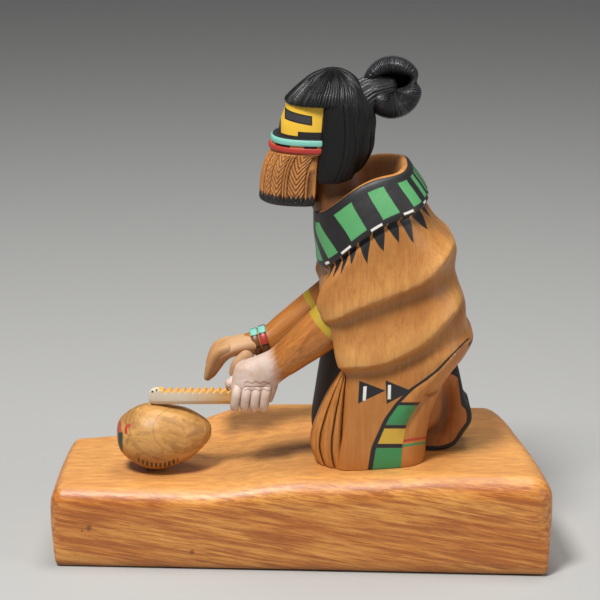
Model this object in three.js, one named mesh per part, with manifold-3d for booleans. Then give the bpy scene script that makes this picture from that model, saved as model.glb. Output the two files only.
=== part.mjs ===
// A carved kachina doll: a kneeling maiden in a painted robe plays a notched rasp on a gourd,
// on a rounded cottonwood slab. Millimetres, +Z up, the figure faces -X, the origin is at the
// middle of the slab's underside.
import * as THREE from 'three';
import { mergeVertices } from 'three/addons/utils/BufferGeometryUtils.js';
import Module from 'manifold-3d';

const wasm = await Module();
wasm.setup();

// Driving dimensions
const contactGap = 0.3;
const baseLength = 210;
const baseDepth = 108;
const leftFrontReach = 42;
const leftBackReach = 28;
const rightEndSlant = 15;
const leftEndSlant = 2.5;
const leftEdgeRadius = 5;
const endTuck = 0.012;
const edgeRadius = 9;
const undersideRadius = 2.5;
const floorHeight = 34.2;
const seatHeight = 39.6;
const tailHeight = 42;
const bankHeight = 43.5;
const figureHeight = 174;
const figureX = 0;
const figureY = -4;
const gourdLength = 40.6;
const gourdDiameter = 29;
const gourdSag = 1.4;
const gourdTilt = 3.5;
const gourdY = -15;
const raspLength = 50;
const raspWidth = 5.6;
const raspDepth = 6.6;
const raspGripShare = 0.1;
const raspOverGourd = 9.5;
const notchCount = 10;
const notchPitch = 3;
const notchDepth = 1.3;

const wood = new THREE.MeshStandardMaterial({ color: 0xc98f4e, roughness: 0.5, metalness: 0 });
const robeWood = new THREE.MeshStandardMaterial({ color: 0xcd985c, roughness: 0.5, metalness: 0 });
const gourdWood = new THREE.MeshStandardMaterial({ color: 0xc9985a, roughness: 0.55, metalness: 0 });
const raspWood = new THREE.MeshStandardMaterial({ color: 0xd8b98a, roughness: 0.6, metalness: 0 });

// Small helpers
const mix = (a, b, t) => a + (b - a) * t;
const clamp01 = (t) => Math.min(1, Math.max(0, t));
const rad = THREE.MathUtils.degToRad;

function ramp(from, to, value) {
  const t = clamp01((value - from) / (to - from));
  return t * t * (3 - 2 * t);
}

function power(value, exponent) {
  return Math.sign(value) * Math.abs(value) ** exponent;
}

function closedGeometry(positions, index) {
  const geometry = new THREE.BufferGeometry();
  geometry.setAttribute('position', new THREE.Float32BufferAttribute(positions, 3));
  geometry.setIndex(index);
  return geometry;
}

function signedVolume(geometry) {
  const corners = [new THREE.Vector3(), new THREE.Vector3(), new THREE.Vector3()];
  const place = geometry.attributes.position;
  let volume = 0;
  for (let i = 0; i < geometry.index.count; i += 3) {
    corners.forEach((corner, k) => corner.fromBufferAttribute(place, geometry.index.getX(i + k)));
    volume += corners[0].dot(corners[1].clone().cross(corners[2])) / 6;
  }
  return volume;
}

function facingOut(geometry) {
  if (signedVolume(geometry) < 0) {
    geometry.index.array.reverse();
  }
  return geometry;
}

// A closed skin over a stack of rings of equal count, with a fan over each end
function skin(rings) {
  const count = rings[0].length;
  const positions = rings.flat(2);
  const index = [];
  for (let r = 0; r < rings.length - 1; r += 1) {
    for (let i = 0; i < count; i += 1) {
      const next = (i + 1) % count;
      const a = r * count + i;
      const b = r * count + next;
      index.push(a, b, b + count, a, b + count, a + count);
    }
  }
  for (const end of [0, rings.length - 1]) {
    const hub = positions.length / 3;
    for (const axis of [0, 1, 2]) {
      positions.push(rings[end].reduce((sum, point) => sum + point[axis], 0) / count);
    }
    for (let i = 0; i < count; i += 1) {
      const a = end * count + i;
      const b = end * count + (i + 1) % count;
      index.push(...(end === 0 ? [hub, b, a] : [hub, a, b]));
    }
  }
  return facingOut(closedGeometry(positions, index));
}

// One flattened round ring: front and back reach along X, half width along Y, squareness front
// and back, and a height that may climb from front to back and rise at the two sides
function ovalRing({ front, back, half, y = 0, square = 2, backSquare = square, z, zBack = z,
  widest = 0.5, rise = 0, count = 28, shift = () => 0 }) {
  const middle = mix(front, back, widest);
  return Array.from({ length: count }, (_, i) => {
    const angle = (i / count) * 2 * Math.PI;
    const c = Math.cos(angle);
    const s = Math.sin(angle);
    const exponent = 2 / (c > 0 ? backSquare : square);
    const reach = c > 0 ? back - middle : middle - front;
    const x = middle + power(c, exponent) * reach;
    const side = power(s, exponent) * half;
    const along = clamp01((x - front) / (back - front));
    const out = shift(c, s, along);
    return [
      x + out * c,
      y + side + out * s,
      mix(z, zBack, along) + rise * s * s * Math.sin(Math.PI * clamp01(along)),
    ];
  });
}

// A limb: rings of half width a along the side direction and half width b across it, set along
// stations [x, y, z, a, b]. The first end is flat and the last is domed.
function limb(stations, side, count = 12, dome = [[0.5, 0.86], [0.85, 0.5]]) {
  const points = stations.map((s) => new THREE.Vector3(s[0], s[1], s[2]));
  const across = new THREE.Vector3(...side).normalize();
  const rings = [];
  const addRing = (centre, direction, a, b) => {
    const other = new THREE.Vector3().crossVectors(direction, across).normalize();
    const first = new THREE.Vector3().crossVectors(other, direction).normalize();
    rings.push(Array.from({ length: count }, (_, i) => {
      const angle = (i / count) * 2 * Math.PI;
      return centre.clone()
        .addScaledVector(first, a * Math.cos(angle))
        .addScaledVector(other, b * Math.sin(angle))
        .toArray();
    }));
  };
  const last = points.length - 1;
  const heading = (i) => points[Math.min(i + 1, last)].clone().sub(points[Math.max(i - 1, 0)]).normalize();
  const endThin = Math.min(stations[last][3], stations[last][4]);
  stations.forEach((s, i) => addRing(points[i], heading(i), s[3], s[4]));
  for (const [out, width] of dome) {
    const centre = points[last].clone().addScaledVector(heading(last), out * endThin);
    addRing(centre, heading(last), stations[last][3] * width, stations[last][4] * width);
  }
  return skin(rings);
}

function solid(geometry) {
  const bare = geometry.clone();
  bare.deleteAttribute('normal');
  bare.deleteAttribute('uv');
  const merged = mergeVertices(bare, 1e-4);
  return new wasm.Manifold(new wasm.Mesh({
    numProp: 3,
    vertProperties: new Float32Array(merged.attributes.position.array),
    triVerts: new Uint32Array(merged.index.array),
  }));
}

function withoutSlivers(geometry) {
  const kept = [];
  for (let i = 0; i < geometry.index.count; i += 3) {
    const [a, b, c] = [0, 1, 2].map((k) => geometry.index.getX(i + k));
    if (a !== b && b !== c && c !== a) {
      kept.push(a, b, c);
    }
  }
  geometry.setIndex(kept);
  return geometry;
}

function geometryOf(body) {
  const mesh = body.getMesh();
  return closedGeometry(Array.from(mesh.vertProperties), Array.from(mesh.triVerts));
}

// The slab: a rounded box with bent ends, a hollow floor in front of the figure, a seat under it
// and a bank along the far side
function slabTop(x, y) {
  const floor = mix(floorHeight, seatHeight, ramp(-45, 4, x));
  const seat = mix(floor, tailHeight, ramp(8, 62, x));
  const farSlope = 2 * ramp(25, baseDepth / 2, y) * ramp(20, 90, x);
  const bankLength = ramp(-64, -20, x);
  const bankTop = mix(floorHeight, bankHeight, bankLength);
  const bank = Math.max(0, bankTop - seat) * ramp(14, 44, y + 0.18 * Math.max(0, -20 - x));
  return seat - farSlope + bank;
}

function slabGeometry() {
  const grid = (steps, half, radius) => {
    const near = [1, 1 - 0.3 * radius / half, 1 - 0.72 * radius / half, 1 - radius / half];
    const inner = Array.from({ length: steps - 7 }, (_, i) => mix(-near[3], near[3], (i + 1) / (steps - 6)));
    return [...near.map((t) => -t), ...inner, ...near.reverse()];
  };
  const columns = grid(16, baseLength / 2, edgeRadius);
  const rows = grid(12, baseDepth / 2, edgeRadius);
  const levels = [-1, -0.88, 0.2, 0.6, 0.87, 1];
  const box = new THREE.BoxGeometry(2, 2, 2, columns.length - 1, rows.length - 1, levels.length - 1);
  const place = box.attributes.position;
  const step = (list, value) => list[Math.round((value + 1) / 2 * (list.length - 1))];
  for (let i = 0; i < place.count; i += 1) {
    const x = step(columns, place.getX(i)) * baseLength / 2;
    const y = step(rows, place.getY(i)) * baseDepth / 2;
    const z = step(levels, place.getZ(i)) * seatHeight / 2;
    const radius = z > 0 ? edgeRadius : undersideRadius;
    const core = new THREE.Vector3(
      THREE.MathUtils.clamp(x, radius - baseLength / 2, baseLength / 2 - radius),
      THREE.MathUtils.clamp(y, radius - baseDepth / 2, baseDepth / 2 - radius),
      THREE.MathUtils.clamp(z, undersideRadius - seatHeight / 2, seatHeight / 2 - edgeRadius),
    );
    const out = new THREE.Vector3(x, y, z).sub(core).normalize().multiplyScalar(radius);
    core.add(out);
    const fromLeft = core.x + baseLength / 2;
    const edgeShare = Math.min(fromLeft, edgeRadius) * leftEdgeRadius / edgeRadius;
    const beyondEdge = Math.max(0, fromLeft - edgeRadius) / (baseLength - edgeRadius);
    const u = (edgeShare + beyondEdge * (baseLength - leftEdgeRadius)) / baseLength;
    const v = (core.y / baseDepth) + 0.5;
    const height = core.z / seatHeight + 0.5;
    const belly = 1 - endTuck * (2 * height - 1.3) ** 2;
    const frontReach = mix(leftFrontReach, baseDepth / 2, u);
    const backReach = mix(leftBackReach, baseDepth / 2, ramp(-0.1, 0.5, u));
    const right = baseLength / 2 - rightEndSlant * v ** 1.6;
    const left = -baseLength / 2 + leftEndSlant * v ** 3;
    place.setXYZ(i, mix(left, right, u) * belly, mix(-frontReach, backReach, v) * belly, height);
  }
  const slab = mergeVertices(withoutLooks(box), 1e-4);
  slab.computeBoundingBox();
  const size = slab.boundingBox.getSize(new THREE.Vector3());
  const middle = slab.boundingBox.getCenter(new THREE.Vector3());
  const spot = slab.attributes.position;
  for (let i = 0; i < spot.count; i += 1) {
    const x = (spot.getX(i) - middle.x) * baseLength / size.x;
    const y = (spot.getY(i) - middle.y) * baseDepth / size.y;
    spot.setXYZ(i, x, y, spot.getZ(i) * slabTop(x, y));
  }
  return slab;
}

function withoutLooks(geometry) {
  geometry.deleteAttribute('normal');
  geometry.deleteAttribute('uv');
  return geometry;
}

// The figure, in its own frame: z from the seat, y from its middle plane, at a height of 174
const carvedHeight = 174;

// The robe: each row is one ring, from the hem up to the collar and down inside it:
// [z front, z back, x front, x back, half width, squareness, side shift, front hollow, rise]
const robeRows = [
  [-4, -4, 16, 53.5, 30.6, 4.6, 0, 0, 0],
  [7, 7, 16.8, 53.6, 31.4, 4.6, 0, 1, 0],
  [18, 18, 18, 55, 31.6, 4.4, 0, 2, 0],
  [27, 29, 18.6, 58.4, 31.8, 4.2, 0, 3, 0],
  [34, 39.5, 18.3, 64.6, 32, 3.8, 0, 3, 0],
  [38.5, 47.5, 17.6, 70.6, 32.2, 3.5, 0.2, 3, 0],
  [42, 53.6, 17.2, 73.4, 32.4, 4, 0.6, 3, 0],
  [44, 59.2, 17, 70.6, 32.4, 4, -1.2, 3, 0],
  [46.8, 67.4, 16.2, 69.9, 32.4, 4.2, 1.5, 3, 0],
  [54, 74.5, 13.6, 67.4, 32.4, 4.6, 0.2, 3, 0],
  [61.6, 83.6, 10.6, 65.2, 32.6, 4.8, -1.6, 3.4, 0],
  [66, 91, 9, 65.8, 32.8, 4.6, 1.4, 3.4, 0.5],
  [72.5, 96.8, 8.2, 62.2, 33, 4, 0.3, 3.4, 1.5],
  [78.6, 102, 8.3, 57.2, 33, 3.4, -0.6, 3, 3],
  [82.4, 108.6, 8.5, 53, 32.6, 2.9, -0.9, 2, 5],
  [83.6, 111.4, 8.6, 51.4, 32, 2.8, -1.1, 1, 5],
  [84.6, 114.4, 7.2, 53.6, 33, 2.7, 0, 0, 5],
  [91.5, 118.8, 6.4, 51.2, 31.2, 2.6, 0, 0, 5],
  [99.5, 123, 5.6, 48.2, 28.8, 2.5, 0, 0, 5],
  [106.4, 126.6, 5.6, 45.4, 26.4, 2.4, 0, 0, 5],
  [107, 127, 8, 43, 24.2, 2.4, 0, 0, 5],
  [98, 116, 12, 38.5, 19.5, 2.2, 0, 0, 4],
];

function robe() {
  const rings = robeRows.map(([z, zBack, front, back, half, square, fold, hollow, rise]) => ovalRing({
    front, back, half, square, backSquare: z < 30 ? square : 3.2, z, zBack, rise,
    shift: (c, s, along) => {
      const sideways = ramp(0.25, 0.8, Math.abs(s)) * ramp(0, 0.25, along);
      const opening = c < 0 ? 1 - ramp(0.45, 0.72, Math.abs(s)) : 0;
      return fold * sideways - hollow * opening;
    },
  }));
  return skin(rings);
}

function neckAndChest() {
  const rows = [[84, 10, 38, 18], [103, 6.8, 38, 18.6], [110, 4.4, 33, 15.6], [118, 4.6, 28, 14], [126, 5, 26, 13.4]];
  return skin(rows.map(([z, front, back, half]) => ovalRing({
    front, back, half, square: 2.3, z, zBack: z + 3, count: 16,
  })));
}

function dress() {
  const rows = [[-4, 9, 18], [6, 6, 19], [14.5, 4.9, 19.5], [28, 6.6, 20], [43, 9, 20], [56, 12, 20], [66, 16, 18]];
  return skin(rows.map(([z, front, half]) => ovalRing({
    front, back: 44, half, square: 2.4, backSquare: 4, z, widest: 0.4, count: 14,
  })));
}

// Skirt folds over a knee: nested scallops between the leading edge and the robe's front edge.
// side is -1 for the near knee and 1 for the far one.
function kneeFolds(side, setBack) {
  const rows = [[-4, 10.6], [-0.6, 8.2], [4, 5.4], [9, 4.2], [13.5, 4.6], [22, 7.4], [33, 12.4], [42, 17.6], [46, 20]];
  const creases = [0, 0.27, 0.6, 0.86, 1.15];
  const perScallop = 3;
  return skin(rows.map(([z, lead]) => {
    const front = Math.min(lead + setBack, 18.4);
    const width = 19.5 - front;
    const ring = [];
    for (let k = 0; k < creases.length - 1; k += 1) {
      for (let j = 0; j < perScallop; j += 1) {
        const t = j / perScallop;
        const share = mix(creases[k], creases[k + 1], t);
        const swell = 1.1 * Math.sin(Math.PI * t) ** 0.7;
        const depth = 17.5 + 9.5 * Math.sqrt(clamp01(share * 1.6)) + swell;
        ring.push([front + share * width, side * depth, z]);
      }
    }
    ring.push([front + 1.2 * width, side * 26, z]);
    ring.push([front + 1.2 * width, side * 10, z]);
    ring.push([front + 0.5 * width, side * 8.5, z]);
    ring.push([front + 0.12 * width, side * 11.5, z]);
    return ring;
  }));
}

// A foot stands on its toes behind the robe, with its sole turned back
function foot(side) {
  const outline = new THREE.Shape();
  outline.moveTo(50, -3);
  outline.lineTo(61, 2.6);
  outline.quadraticCurveTo(65.5, 3.4, 67.5, 6);
  outline.lineTo(73, 14.6);
  outline.quadraticCurveTo(74, 18, 72.6, 21.6);
  outline.lineTo(70.6, 24);
  outline.lineTo(67.8, 37);
  outline.quadraticCurveTo(65, 40, 60, 38);
  outline.lineTo(50, 36);
  outline.closePath();
  const thickness = 10;
  const bevel = 1.2;
  const body = new THREE.ExtrudeGeometry(outline, {
    depth: thickness - 2 * bevel, bevelThickness: bevel, bevelSize: bevel, bevelOffset: -bevel,
    bevelSegments: 1, curveSegments: 3, steps: 1,
  });
  body.rotateX(Math.PI / 2);
  body.translate(0, side * 5.4 + thickness / 2 - bevel, 0);
  const hollow = limb([[62.4, side * 12.4, 5.5, 2.6, 4], [62.2, side * 12.4, 17, 3.4, 5], [61, side * 12.4, 28, 2, 3.4]],
    [1, 0, 0], 10);
  return solid(body).subtract(solid(hollow));
}

// Arms, bracelets and hands
const nearArm = [
  [32, -16, 84, 8, 8], [20, -18.5, 70, 8.8, 8.8], [10.9, -20.8, 60.8, 9.2, 9.2],
  [-1.2, -20, 50.4, 7.7, 7.8], [-8.4, -18.5, 44.2, 6.6, 6.6], [-14, -17.5, 41.6, 6, 5.8],
];
const farArm = [
  [30, 16, 82, 8, 8], [18, 18.5, 67.5, 8.6, 8.6], [7.3, 21, 57.6, 8.5, 8.5],
  [-5, 20.5, 49, 7.2, 7.2], [-13, 19.6, 43.6, 6.2, 6.2], [-22, 19.2, 41.4, 5.6, 5],
];
const bracelets = [[-15.1, 42.9, 6.9], [-18.7, 41.9, 6.6]];
const grip = new THREE.Vector3(-19.4, -17, 26.8);

function braceletRing([x, z, radius]) {
  const half = 1.5;
  const lean = 0.28;
  const stations = [-half, half].map((d) => [x + d, 19.5, z + lean * d, radius, radius]);
  return limb(stations, [0, 1, 0], 12, []);
}

function nearHand() {
  const rows = [
    [44.2, -20.4, 4.6, 4], [42.2, -19.4, 7.8, 5.2], [38, -18.8, 9.6, 5.8],
    [34, -19.2, 9.9, 5.8], [30, -19.9, 9.4, 5.4], [27, -20.4, 8.8, 4.4],
  ];
  const palm = skin(rows.map(([z, x, halfX, halfY]) => ovalRing({
    front: x - halfX, back: x + halfX, half: halfY, y: -17, square: 2.6, z, count: 16,
  })));
  const parts = [palm];
  for (const x of [-27.4, -23.3, -19.2, -15.1]) {
    parts.push(limb([
      [x + 1.6, -20.2, 35, 2.1, 2.4], [x + 0.6, -22.3, 31, 2.2, 2.4], [x, -21.8, 27, 2.15, 2.3],
      [x - 0.1, -19.4, 25, 2, 2.1], [x - 0.1, -16.8, 25.2, 1.8, 1.9],
    ], [1, 0, 0], 7));
  }
  parts.push(limb([[-20, -13.5, 38, 3, 3], [-25, -13, 36, 2.8, 2.8], [-29.6, -14.6, 33.8, 2.4, 2.2]], [0, 1, 0], 8));
  return parts;
}

function farHand() {
  const palm = limb([
    [-18, 19.2, 42.2, 6.2, 4.6], [-25, 19, 41.6, 7.6, 4], [-31, 19, 39.8, 8.4, 4], [-35, 19, 37.4, 8.4, 3.4],
  ], [0, 1, 0], 14);
  const parts = [palm];
  for (const y of [12.8, 17, 21.2, 25.2]) {
    parts.push(limb([
      [-33, y, 40.2, 2.2, 2.9], [-37.2, y, 36.4, 2.2, 2.9], [-39, y, 31.4, 2.1, 2.7],
      [-38.4, y, 28.2, 2, 2.5], [-35.8, y, 27, 1.9, 2.1],
    ], [0, 1, 0], 7));
  }
  parts.push(limb([[-25, 13, 39, 2.6, 3], [-28.6, 12, 35, 2.4, 2.6], [-29.8, 12.6, 31, 2, 2.2]], [0, 1, 0], 8));
  return parts;
}

// The mask: beard, two raised bands and the face, as one half round front
function mask() {
  const rows = [
    [110.8, -15.8, 16.6, 6], [112.2, -17.2, 17.2, 6.4], [119, -16.8, 17.6, 7], [126, -15.4, 17.8, 7.4],
    [131.6, -12.6, 17.8, 8], [133.1, -11.8, 18, 12], [133.3, -12.9, 18.8, 12], [135.5, -12.6, 18.9, 12],
    [135.8, -11.4, 18.2, 12], [136.1, -12.1, 19, 12], [138.8, -11.6, 19, 12], [139.2, -9.3, 17.6, 12],
    [144, -8.3, 17.6, 12], [150, -6.2, 17.6, 12], [155, -5, 17.4, 12],
  ];
  return skin(rows.map(([z, front, half, back]) => ovalRing({
    front, back, half, square: 2.35, backSquare: 6, z, widest: 0.86, count: 22,
  })));
}

// The beard's upright ridges stand proud between its plaited panels
function beardRidges() {
  const parts = [];
  for (const side of [-1, 1]) {
    for (const [x, y, lean] of [[-15.6, 7.2, 0.9], [-4.4, 15.6, 0.4]]) {
      parts.push(limb([
        [x, side * y, 113.4, 1.2, 0.9], [x + lean, side * (y + 0.5), 122, 1.2, 0.9],
        [x + 3.4 * lean, side * (y + 0.9), 131.4, 1, 0.8],
      ], [0, 1, 0], 6, []));
    }
  }
  return parts;
}

// The hair: side and back fall below, fringe and crown above
function hair() {
  const rows = [
    [120.8, 7, 21, 18.6, 6], [122.6, 6.4, 25.5, 19.4, 6], [128, 6.8, 30, 19.8, 6], [135, 7.2, 32.4, 20, 6],
    [142, 7.8, 32.6, 20, 6], [148, 8.4, 31.2, 20, 6], [152.2, 8.8, 29.6, 20, 6],
    [153, -6.4, 29.2, 20.3, 2.35], [156, -4, 27.6, 19.6, 2.3], [160, 0.4, 25, 17, 2.2],
    [163.3, 4.7, 21.6, 12.6, 2.1], [165.2, 9.3, 17.8, 7.4, 2], [166, 12.4, 14.8, 3, 2],
  ];
  return skin(rows.map(([z, front, back, half, square]) => ovalRing({
    front, back, half, square, backSquare: 2.3, z, widest: square > 3 ? 0.35 : 0.5, count: 24,
  })));
}

// The whorl: a fat coil of hair behind the head, pinched at a waist
function whorl() {
  const ring = new THREE.TorusGeometry(6.4, 6.3, 9, 24);
  const place = ring.attributes.position;
  for (let i = 0; i < place.count; i += 1) {
    const x = place.getX(i);
    const z = place.getY(i);
    const turn = Math.atan2(z, x);
    const pinch = 1 - 0.16 * Math.exp(-(((turn - 0.2) / 0.22) ** 2));
    place.setXYZ(i, x * pinch, place.getZ(i) * 1.15, z * 1.05);
  }
  ring.translate(38.2, 0, 157.8);
  const root = limb([[22, 0, 150, 9, 8], [31, 0, 157, 7.4, 6.4], [36, 0, 158, 5, 4.5]], [0, 1, 0], 12, []);
  return [facingOut(mergeVertices(withoutLooks(ring), 1e-4)), root];
}

function figureBody() {
  const parts = [
    robe(), neckAndChest(), dress(), kneeFolds(-1, 0), kneeFolds(1, 4),
    limb(nearArm, [0, 1, 0], 12, []), limb(farArm, [0, 1, 0], 12, []), ...bracelets.map(braceletRing),
    ...nearHand(), ...farHand(), mask(), ...beardRidges(), hair(), ...whorl(),
  ].map(solid);
  parts.push(foot(-1), foot(1));
  return parts.reduce((whole, part) => whole.add(part));
}

const carve = figureHeight / carvedHeight;
const figureFrame = new THREE.Matrix4().makeScale(carve, carve, carve).setPosition(figureX, figureY, seatHeight);

// The gourd, a pear lying along X with its tip towards the figure
function gourdGeometry() {
  const profile = [
    [0, 0], [0.03, 0.42], [0.12, 0.7], [0.27, 0.93], [0.43, 1], [0.57, 0.92], [0.76, 0.74],
    [0.92, 0.42], [0.985, 0.2], [1, 0],
  ];
  const points = profile.map(([along, wide]) => new THREE.Vector2(wide * gourdDiameter / 2, along * gourdLength));
  const smooth = new THREE.SplineCurve(points).getPoints(14);
  smooth[0].x = 0;
  smooth[smooth.length - 1].x = 0;
  const body = withoutLooks(new THREE.LatheGeometry(smooth, 18));
  body.rotateZ(-Math.PI / 2);
  const place = body.attributes.position;
  for (let i = 0; i < place.count; i += 1) {
    const along = clamp01(place.getX(i) / gourdLength);
    place.setZ(i, place.getZ(i) - gourdSag * Math.sin(Math.PI * along));
  }
  body.rotateY(-rad(gourdTilt));
  return facingOut(withoutSlivers(mergeVertices(body, 1e-4)));
}

function settle(geometry) {
  const place = geometry.attributes.position;
  let lift = -Infinity;
  for (let i = 0; i < place.count; i += 1) {
    lift = Math.max(lift, slabTop(place.getX(i), place.getY(i)) - place.getZ(i));
  }
  return geometry.translate(0, 0, lift + contactGap);
}

const gripPoint = grip.clone().applyMatrix4(figureFrame);
const gourdX = gripPoint.x - 58.9;
const gourdBody = settle(gourdGeometry().translate(gourdX, gourdY, 0));

// The rasp runs from the grip over the gourd. It lies as low as the gourd lets it.
const crossing = new THREE.Vector2(gourdX + gourdLength / 2 + 1, gourdY - 1.5);
const raspHeading = new THREE.Vector2(gripPoint.x, gripPoint.y).sub(crossing).normalize();

function raspSlope() {
  const place = gourdBody.attributes.position;
  let slope = -Infinity;
  for (let i = 0; i < place.count; i += 1) {
    const offset = new THREE.Vector2(place.getX(i) - gripPoint.x, place.getY(i) - gripPoint.y);
    const back = -offset.dot(raspHeading);
    if (Math.abs(offset.cross(raspHeading)) < raspWidth && back > raspOverGourd) {
      slope = Math.max(slope, (place.getZ(i) + contactGap + raspDepth / 2 - gripPoint.z) / back);
    }
  }
  return slope;
}

function raspGeometry(grow, depthOfNotch) {
  const w = raspWidth / 2 + grow;
  const h = raspDepth / 2 + grow;
  const tip = -(1 - raspGripShare) * raspLength - grow;
  const tail = raspGripShare * raspLength + grow;
  const section = (x, drop, size) => [
    [x, -w * size, -0.45 * h * size], [x, -0.55 * w * size, -h * size], [x, 0.55 * w * size, -h * size],
    [x, w * size, -0.45 * h * size], [x, 0.92 * w * size, h * size - drop], [x, -0.92 * w * size, h * size - drop],
  ];
  const rings = [section(tip, 0, 0.55), section(tip + 1.2, 0, 0.9), section(tip + 3, 0, 1)];
  const firstNotch = tip + 6.2;
  for (let i = 0; i < notchCount; i += 1) {
    const x = firstNotch + i * notchPitch;
    rings.push(section(x, 0, 1), section(x + 0.28 * notchPitch, depthOfNotch, 1));
    rings.push(section(x + 0.72 * notchPitch, 0.2 * depthOfNotch, 1));
  }
  rings.push(section(tail - 1.5, 0, 1), section(tail, 0, 0.7));
  return skin(rings);
}

const raspPitch = Math.atan(raspSlope());
const raspFrame = new THREE.Matrix4()
  .makeRotationZ(Math.atan2(raspHeading.y, raspHeading.x))
  .multiply(new THREE.Matrix4().makeRotationY(raspPitch))
  .setPosition(gripPoint);

const raspBody = raspGeometry(0, notchDepth).applyMatrix4(raspFrame);
const raspRoom = raspGeometry(contactGap, 0).applyMatrix4(raspFrame);

const slab = slabGeometry();
const slabRoom = slab.clone().translate(0, 0, contactGap);
const figureWhole = solid(geometryOf(figureBody()).applyMatrix4(figureFrame))
  .subtract(solid(slabRoom))
  .subtract(solid(raspRoom));

function piece(name, geometry, material) {
  geometry.computeVertexNormals();
  const mesh = new THREE.Mesh(geometry, material);
  mesh.name = name;
  return mesh;
}

const doll = new THREE.Group();
doll.add(
  piece('base', slab, wood),
  piece('figure', geometryOf(figureWhole), robeWood),
  piece('gourd', gourdBody, gourdWood),
  piece('rasp', raspBody, raspWood),
);

export default doll;
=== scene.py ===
import math
import bpy
import numpy as np
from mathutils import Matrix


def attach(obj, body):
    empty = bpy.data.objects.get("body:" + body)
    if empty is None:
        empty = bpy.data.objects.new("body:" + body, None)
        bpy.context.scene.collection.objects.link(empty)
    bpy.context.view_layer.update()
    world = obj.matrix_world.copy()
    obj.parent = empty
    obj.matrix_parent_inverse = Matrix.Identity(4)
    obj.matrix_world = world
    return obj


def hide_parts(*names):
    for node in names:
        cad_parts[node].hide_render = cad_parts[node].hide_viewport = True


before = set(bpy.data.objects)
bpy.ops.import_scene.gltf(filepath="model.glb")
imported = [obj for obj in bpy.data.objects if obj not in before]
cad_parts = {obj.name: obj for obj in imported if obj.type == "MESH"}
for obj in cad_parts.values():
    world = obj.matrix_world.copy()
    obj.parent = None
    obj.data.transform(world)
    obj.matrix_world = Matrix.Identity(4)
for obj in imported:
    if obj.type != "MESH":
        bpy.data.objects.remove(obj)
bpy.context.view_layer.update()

MM = 0.001

# Driving dimensions in millimetres, as in the solids
CONTACT_GAP = 0.3
BASE_LENGTH = 210
BASE_DEPTH = 108
LEFT_FRONT_REACH = 42
LEFT_BACK_REACH = 28
RIGHT_END_SLANT = 15
LEFT_END_SLANT = 2.5
LEFT_EDGE_RADIUS = 5
END_TUCK = 0.012
EDGE_RADIUS = 9
UNDERSIDE_RADIUS = 2.5
FLOOR_HEIGHT = 34.2
SEAT_HEIGHT = 39.6
TAIL_HEIGHT = 42
BANK_HEIGHT = 43.5
FIGURE_Y = -4
ON_SEAT = np.array([0, FIGURE_Y, SEAT_HEIGHT])
GOURD_LENGTH = 40.6
GOURD_DIAMETER = 29
GOURD_SAG = 1.4
GOURD_TILT = 3.5
GOURD_Y = -15
RASP_LENGTH = 50
RASP_WIDTH = 5.6
RASP_DEPTH = 6.6
RASP_GRIP_SHARE = 0.1
RASP_OVER_GOURD = 9.5
NOTCH_COUNT = 10
NOTCH_PITCH = 3
NOTCH_DEPTH = 1.3
RASP_EDGE = 0.3
# The grip is this much higher than in the solids, for the photograph's slope
RASP_LIFT = 2.4

# The camera: it stands on the photograph's viewing line, 15 degrees above level
AIM = np.array([0, 0, 105.0])
DISTANCE = 950
ELEVATION = math.radians(15)
PIXELS = 600
FOCAL = 2223
SENSOR = 36

chance = np.random.default_rng(7)


def mix(a, b, t):
    return a + (b - a) * t


def ramp(low, high, value):
    t = np.clip((value - low) / (high - low), 0, 1)
    return t * t * (3 - 2 * t)


def bell(value, middle, width):
    """1 at the middle, fading to both sides"""
    return np.exp(-(((value - middle) / width) ** 2))


def power(value, exponent):
    return np.sign(value) * np.abs(value) ** exponent


def rolled(a, b, angle):
    """Two coordinates turned by an angle in their plane"""
    return a * math.cos(angle) + b * math.sin(angle), b * math.cos(angle) - a * math.sin(angle)


def angles(count):
    return np.arange(count) / count * 2 * math.pi


def drawing(points, mirror):
    """Where points fall on the side drawing, in its units. With mirror, the far side has the near
    side's drawing."""
    spot = points.copy()
    if mirror:
        spot[..., 1] = FIGURE_Y - np.abs(spot[..., 1] - FIGURE_Y)
    away = spot - AIM
    back = np.array([0, -math.cos(ELEVATION), math.sin(ELEVATION)])
    up = np.array([0, math.sin(ELEVATION), math.cos(ELEVATION)])
    depth = DISTANCE - away @ back
    return PIXELS / 2 + FOCAL * away[..., 0] / depth, PIXELS / 2 - FOCAL * (away @ up) / depth


# Shapes
def through(rows, pitch):
    """Smooth rows between the given ones, about pitch apart, without overshoot"""
    rows = np.array(rows, float)
    step = np.diff(rows, axis=0)
    product = step[:-1] * step[1:]
    total = np.where(product > 0, step[:-1] + step[1:], 1)
    inner = np.where(product > 0, 2 * product / total, 0)
    tangent = np.vstack([step[:1], inner, step[-1:]])
    fine = []
    for i, size in enumerate(np.broadcast_to(pitch, len(step))):
        count = max(1, math.ceil(np.abs(step[i, :4]).max() / size))
        t = np.arange(count)[:, None] / count
        fine.append(
            (1 + 2 * t) * (1 - t) ** 2 * rows[i]
            + t * (1 - t) ** 2 * tangent[i]
            + t * t * (3 - 2 * t) * rows[i + 1]
            + t * t * (t - 1) * tangent[i + 1]
        )
    return np.vstack(fine + [rows[-1:]])


def evenly(loops, shares):
    """Each closed loop, taken again at the given shares of its length"""
    closed = np.concatenate([loops, loops[:, :1]], axis=1)
    gap = np.linalg.norm(np.diff(closed, axis=1), axis=2)
    gone = np.concatenate([np.zeros((len(loops), 1)), np.cumsum(gap, axis=1)], axis=1)
    result = np.empty((len(loops), len(shares), 3))
    for row in range(len(loops)):
        want = gone[row, -1] * shares
        for axis in range(3):
            result[row, :, axis] = np.interp(want, gone[row], closed[row, :, axis])
    return result


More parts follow.
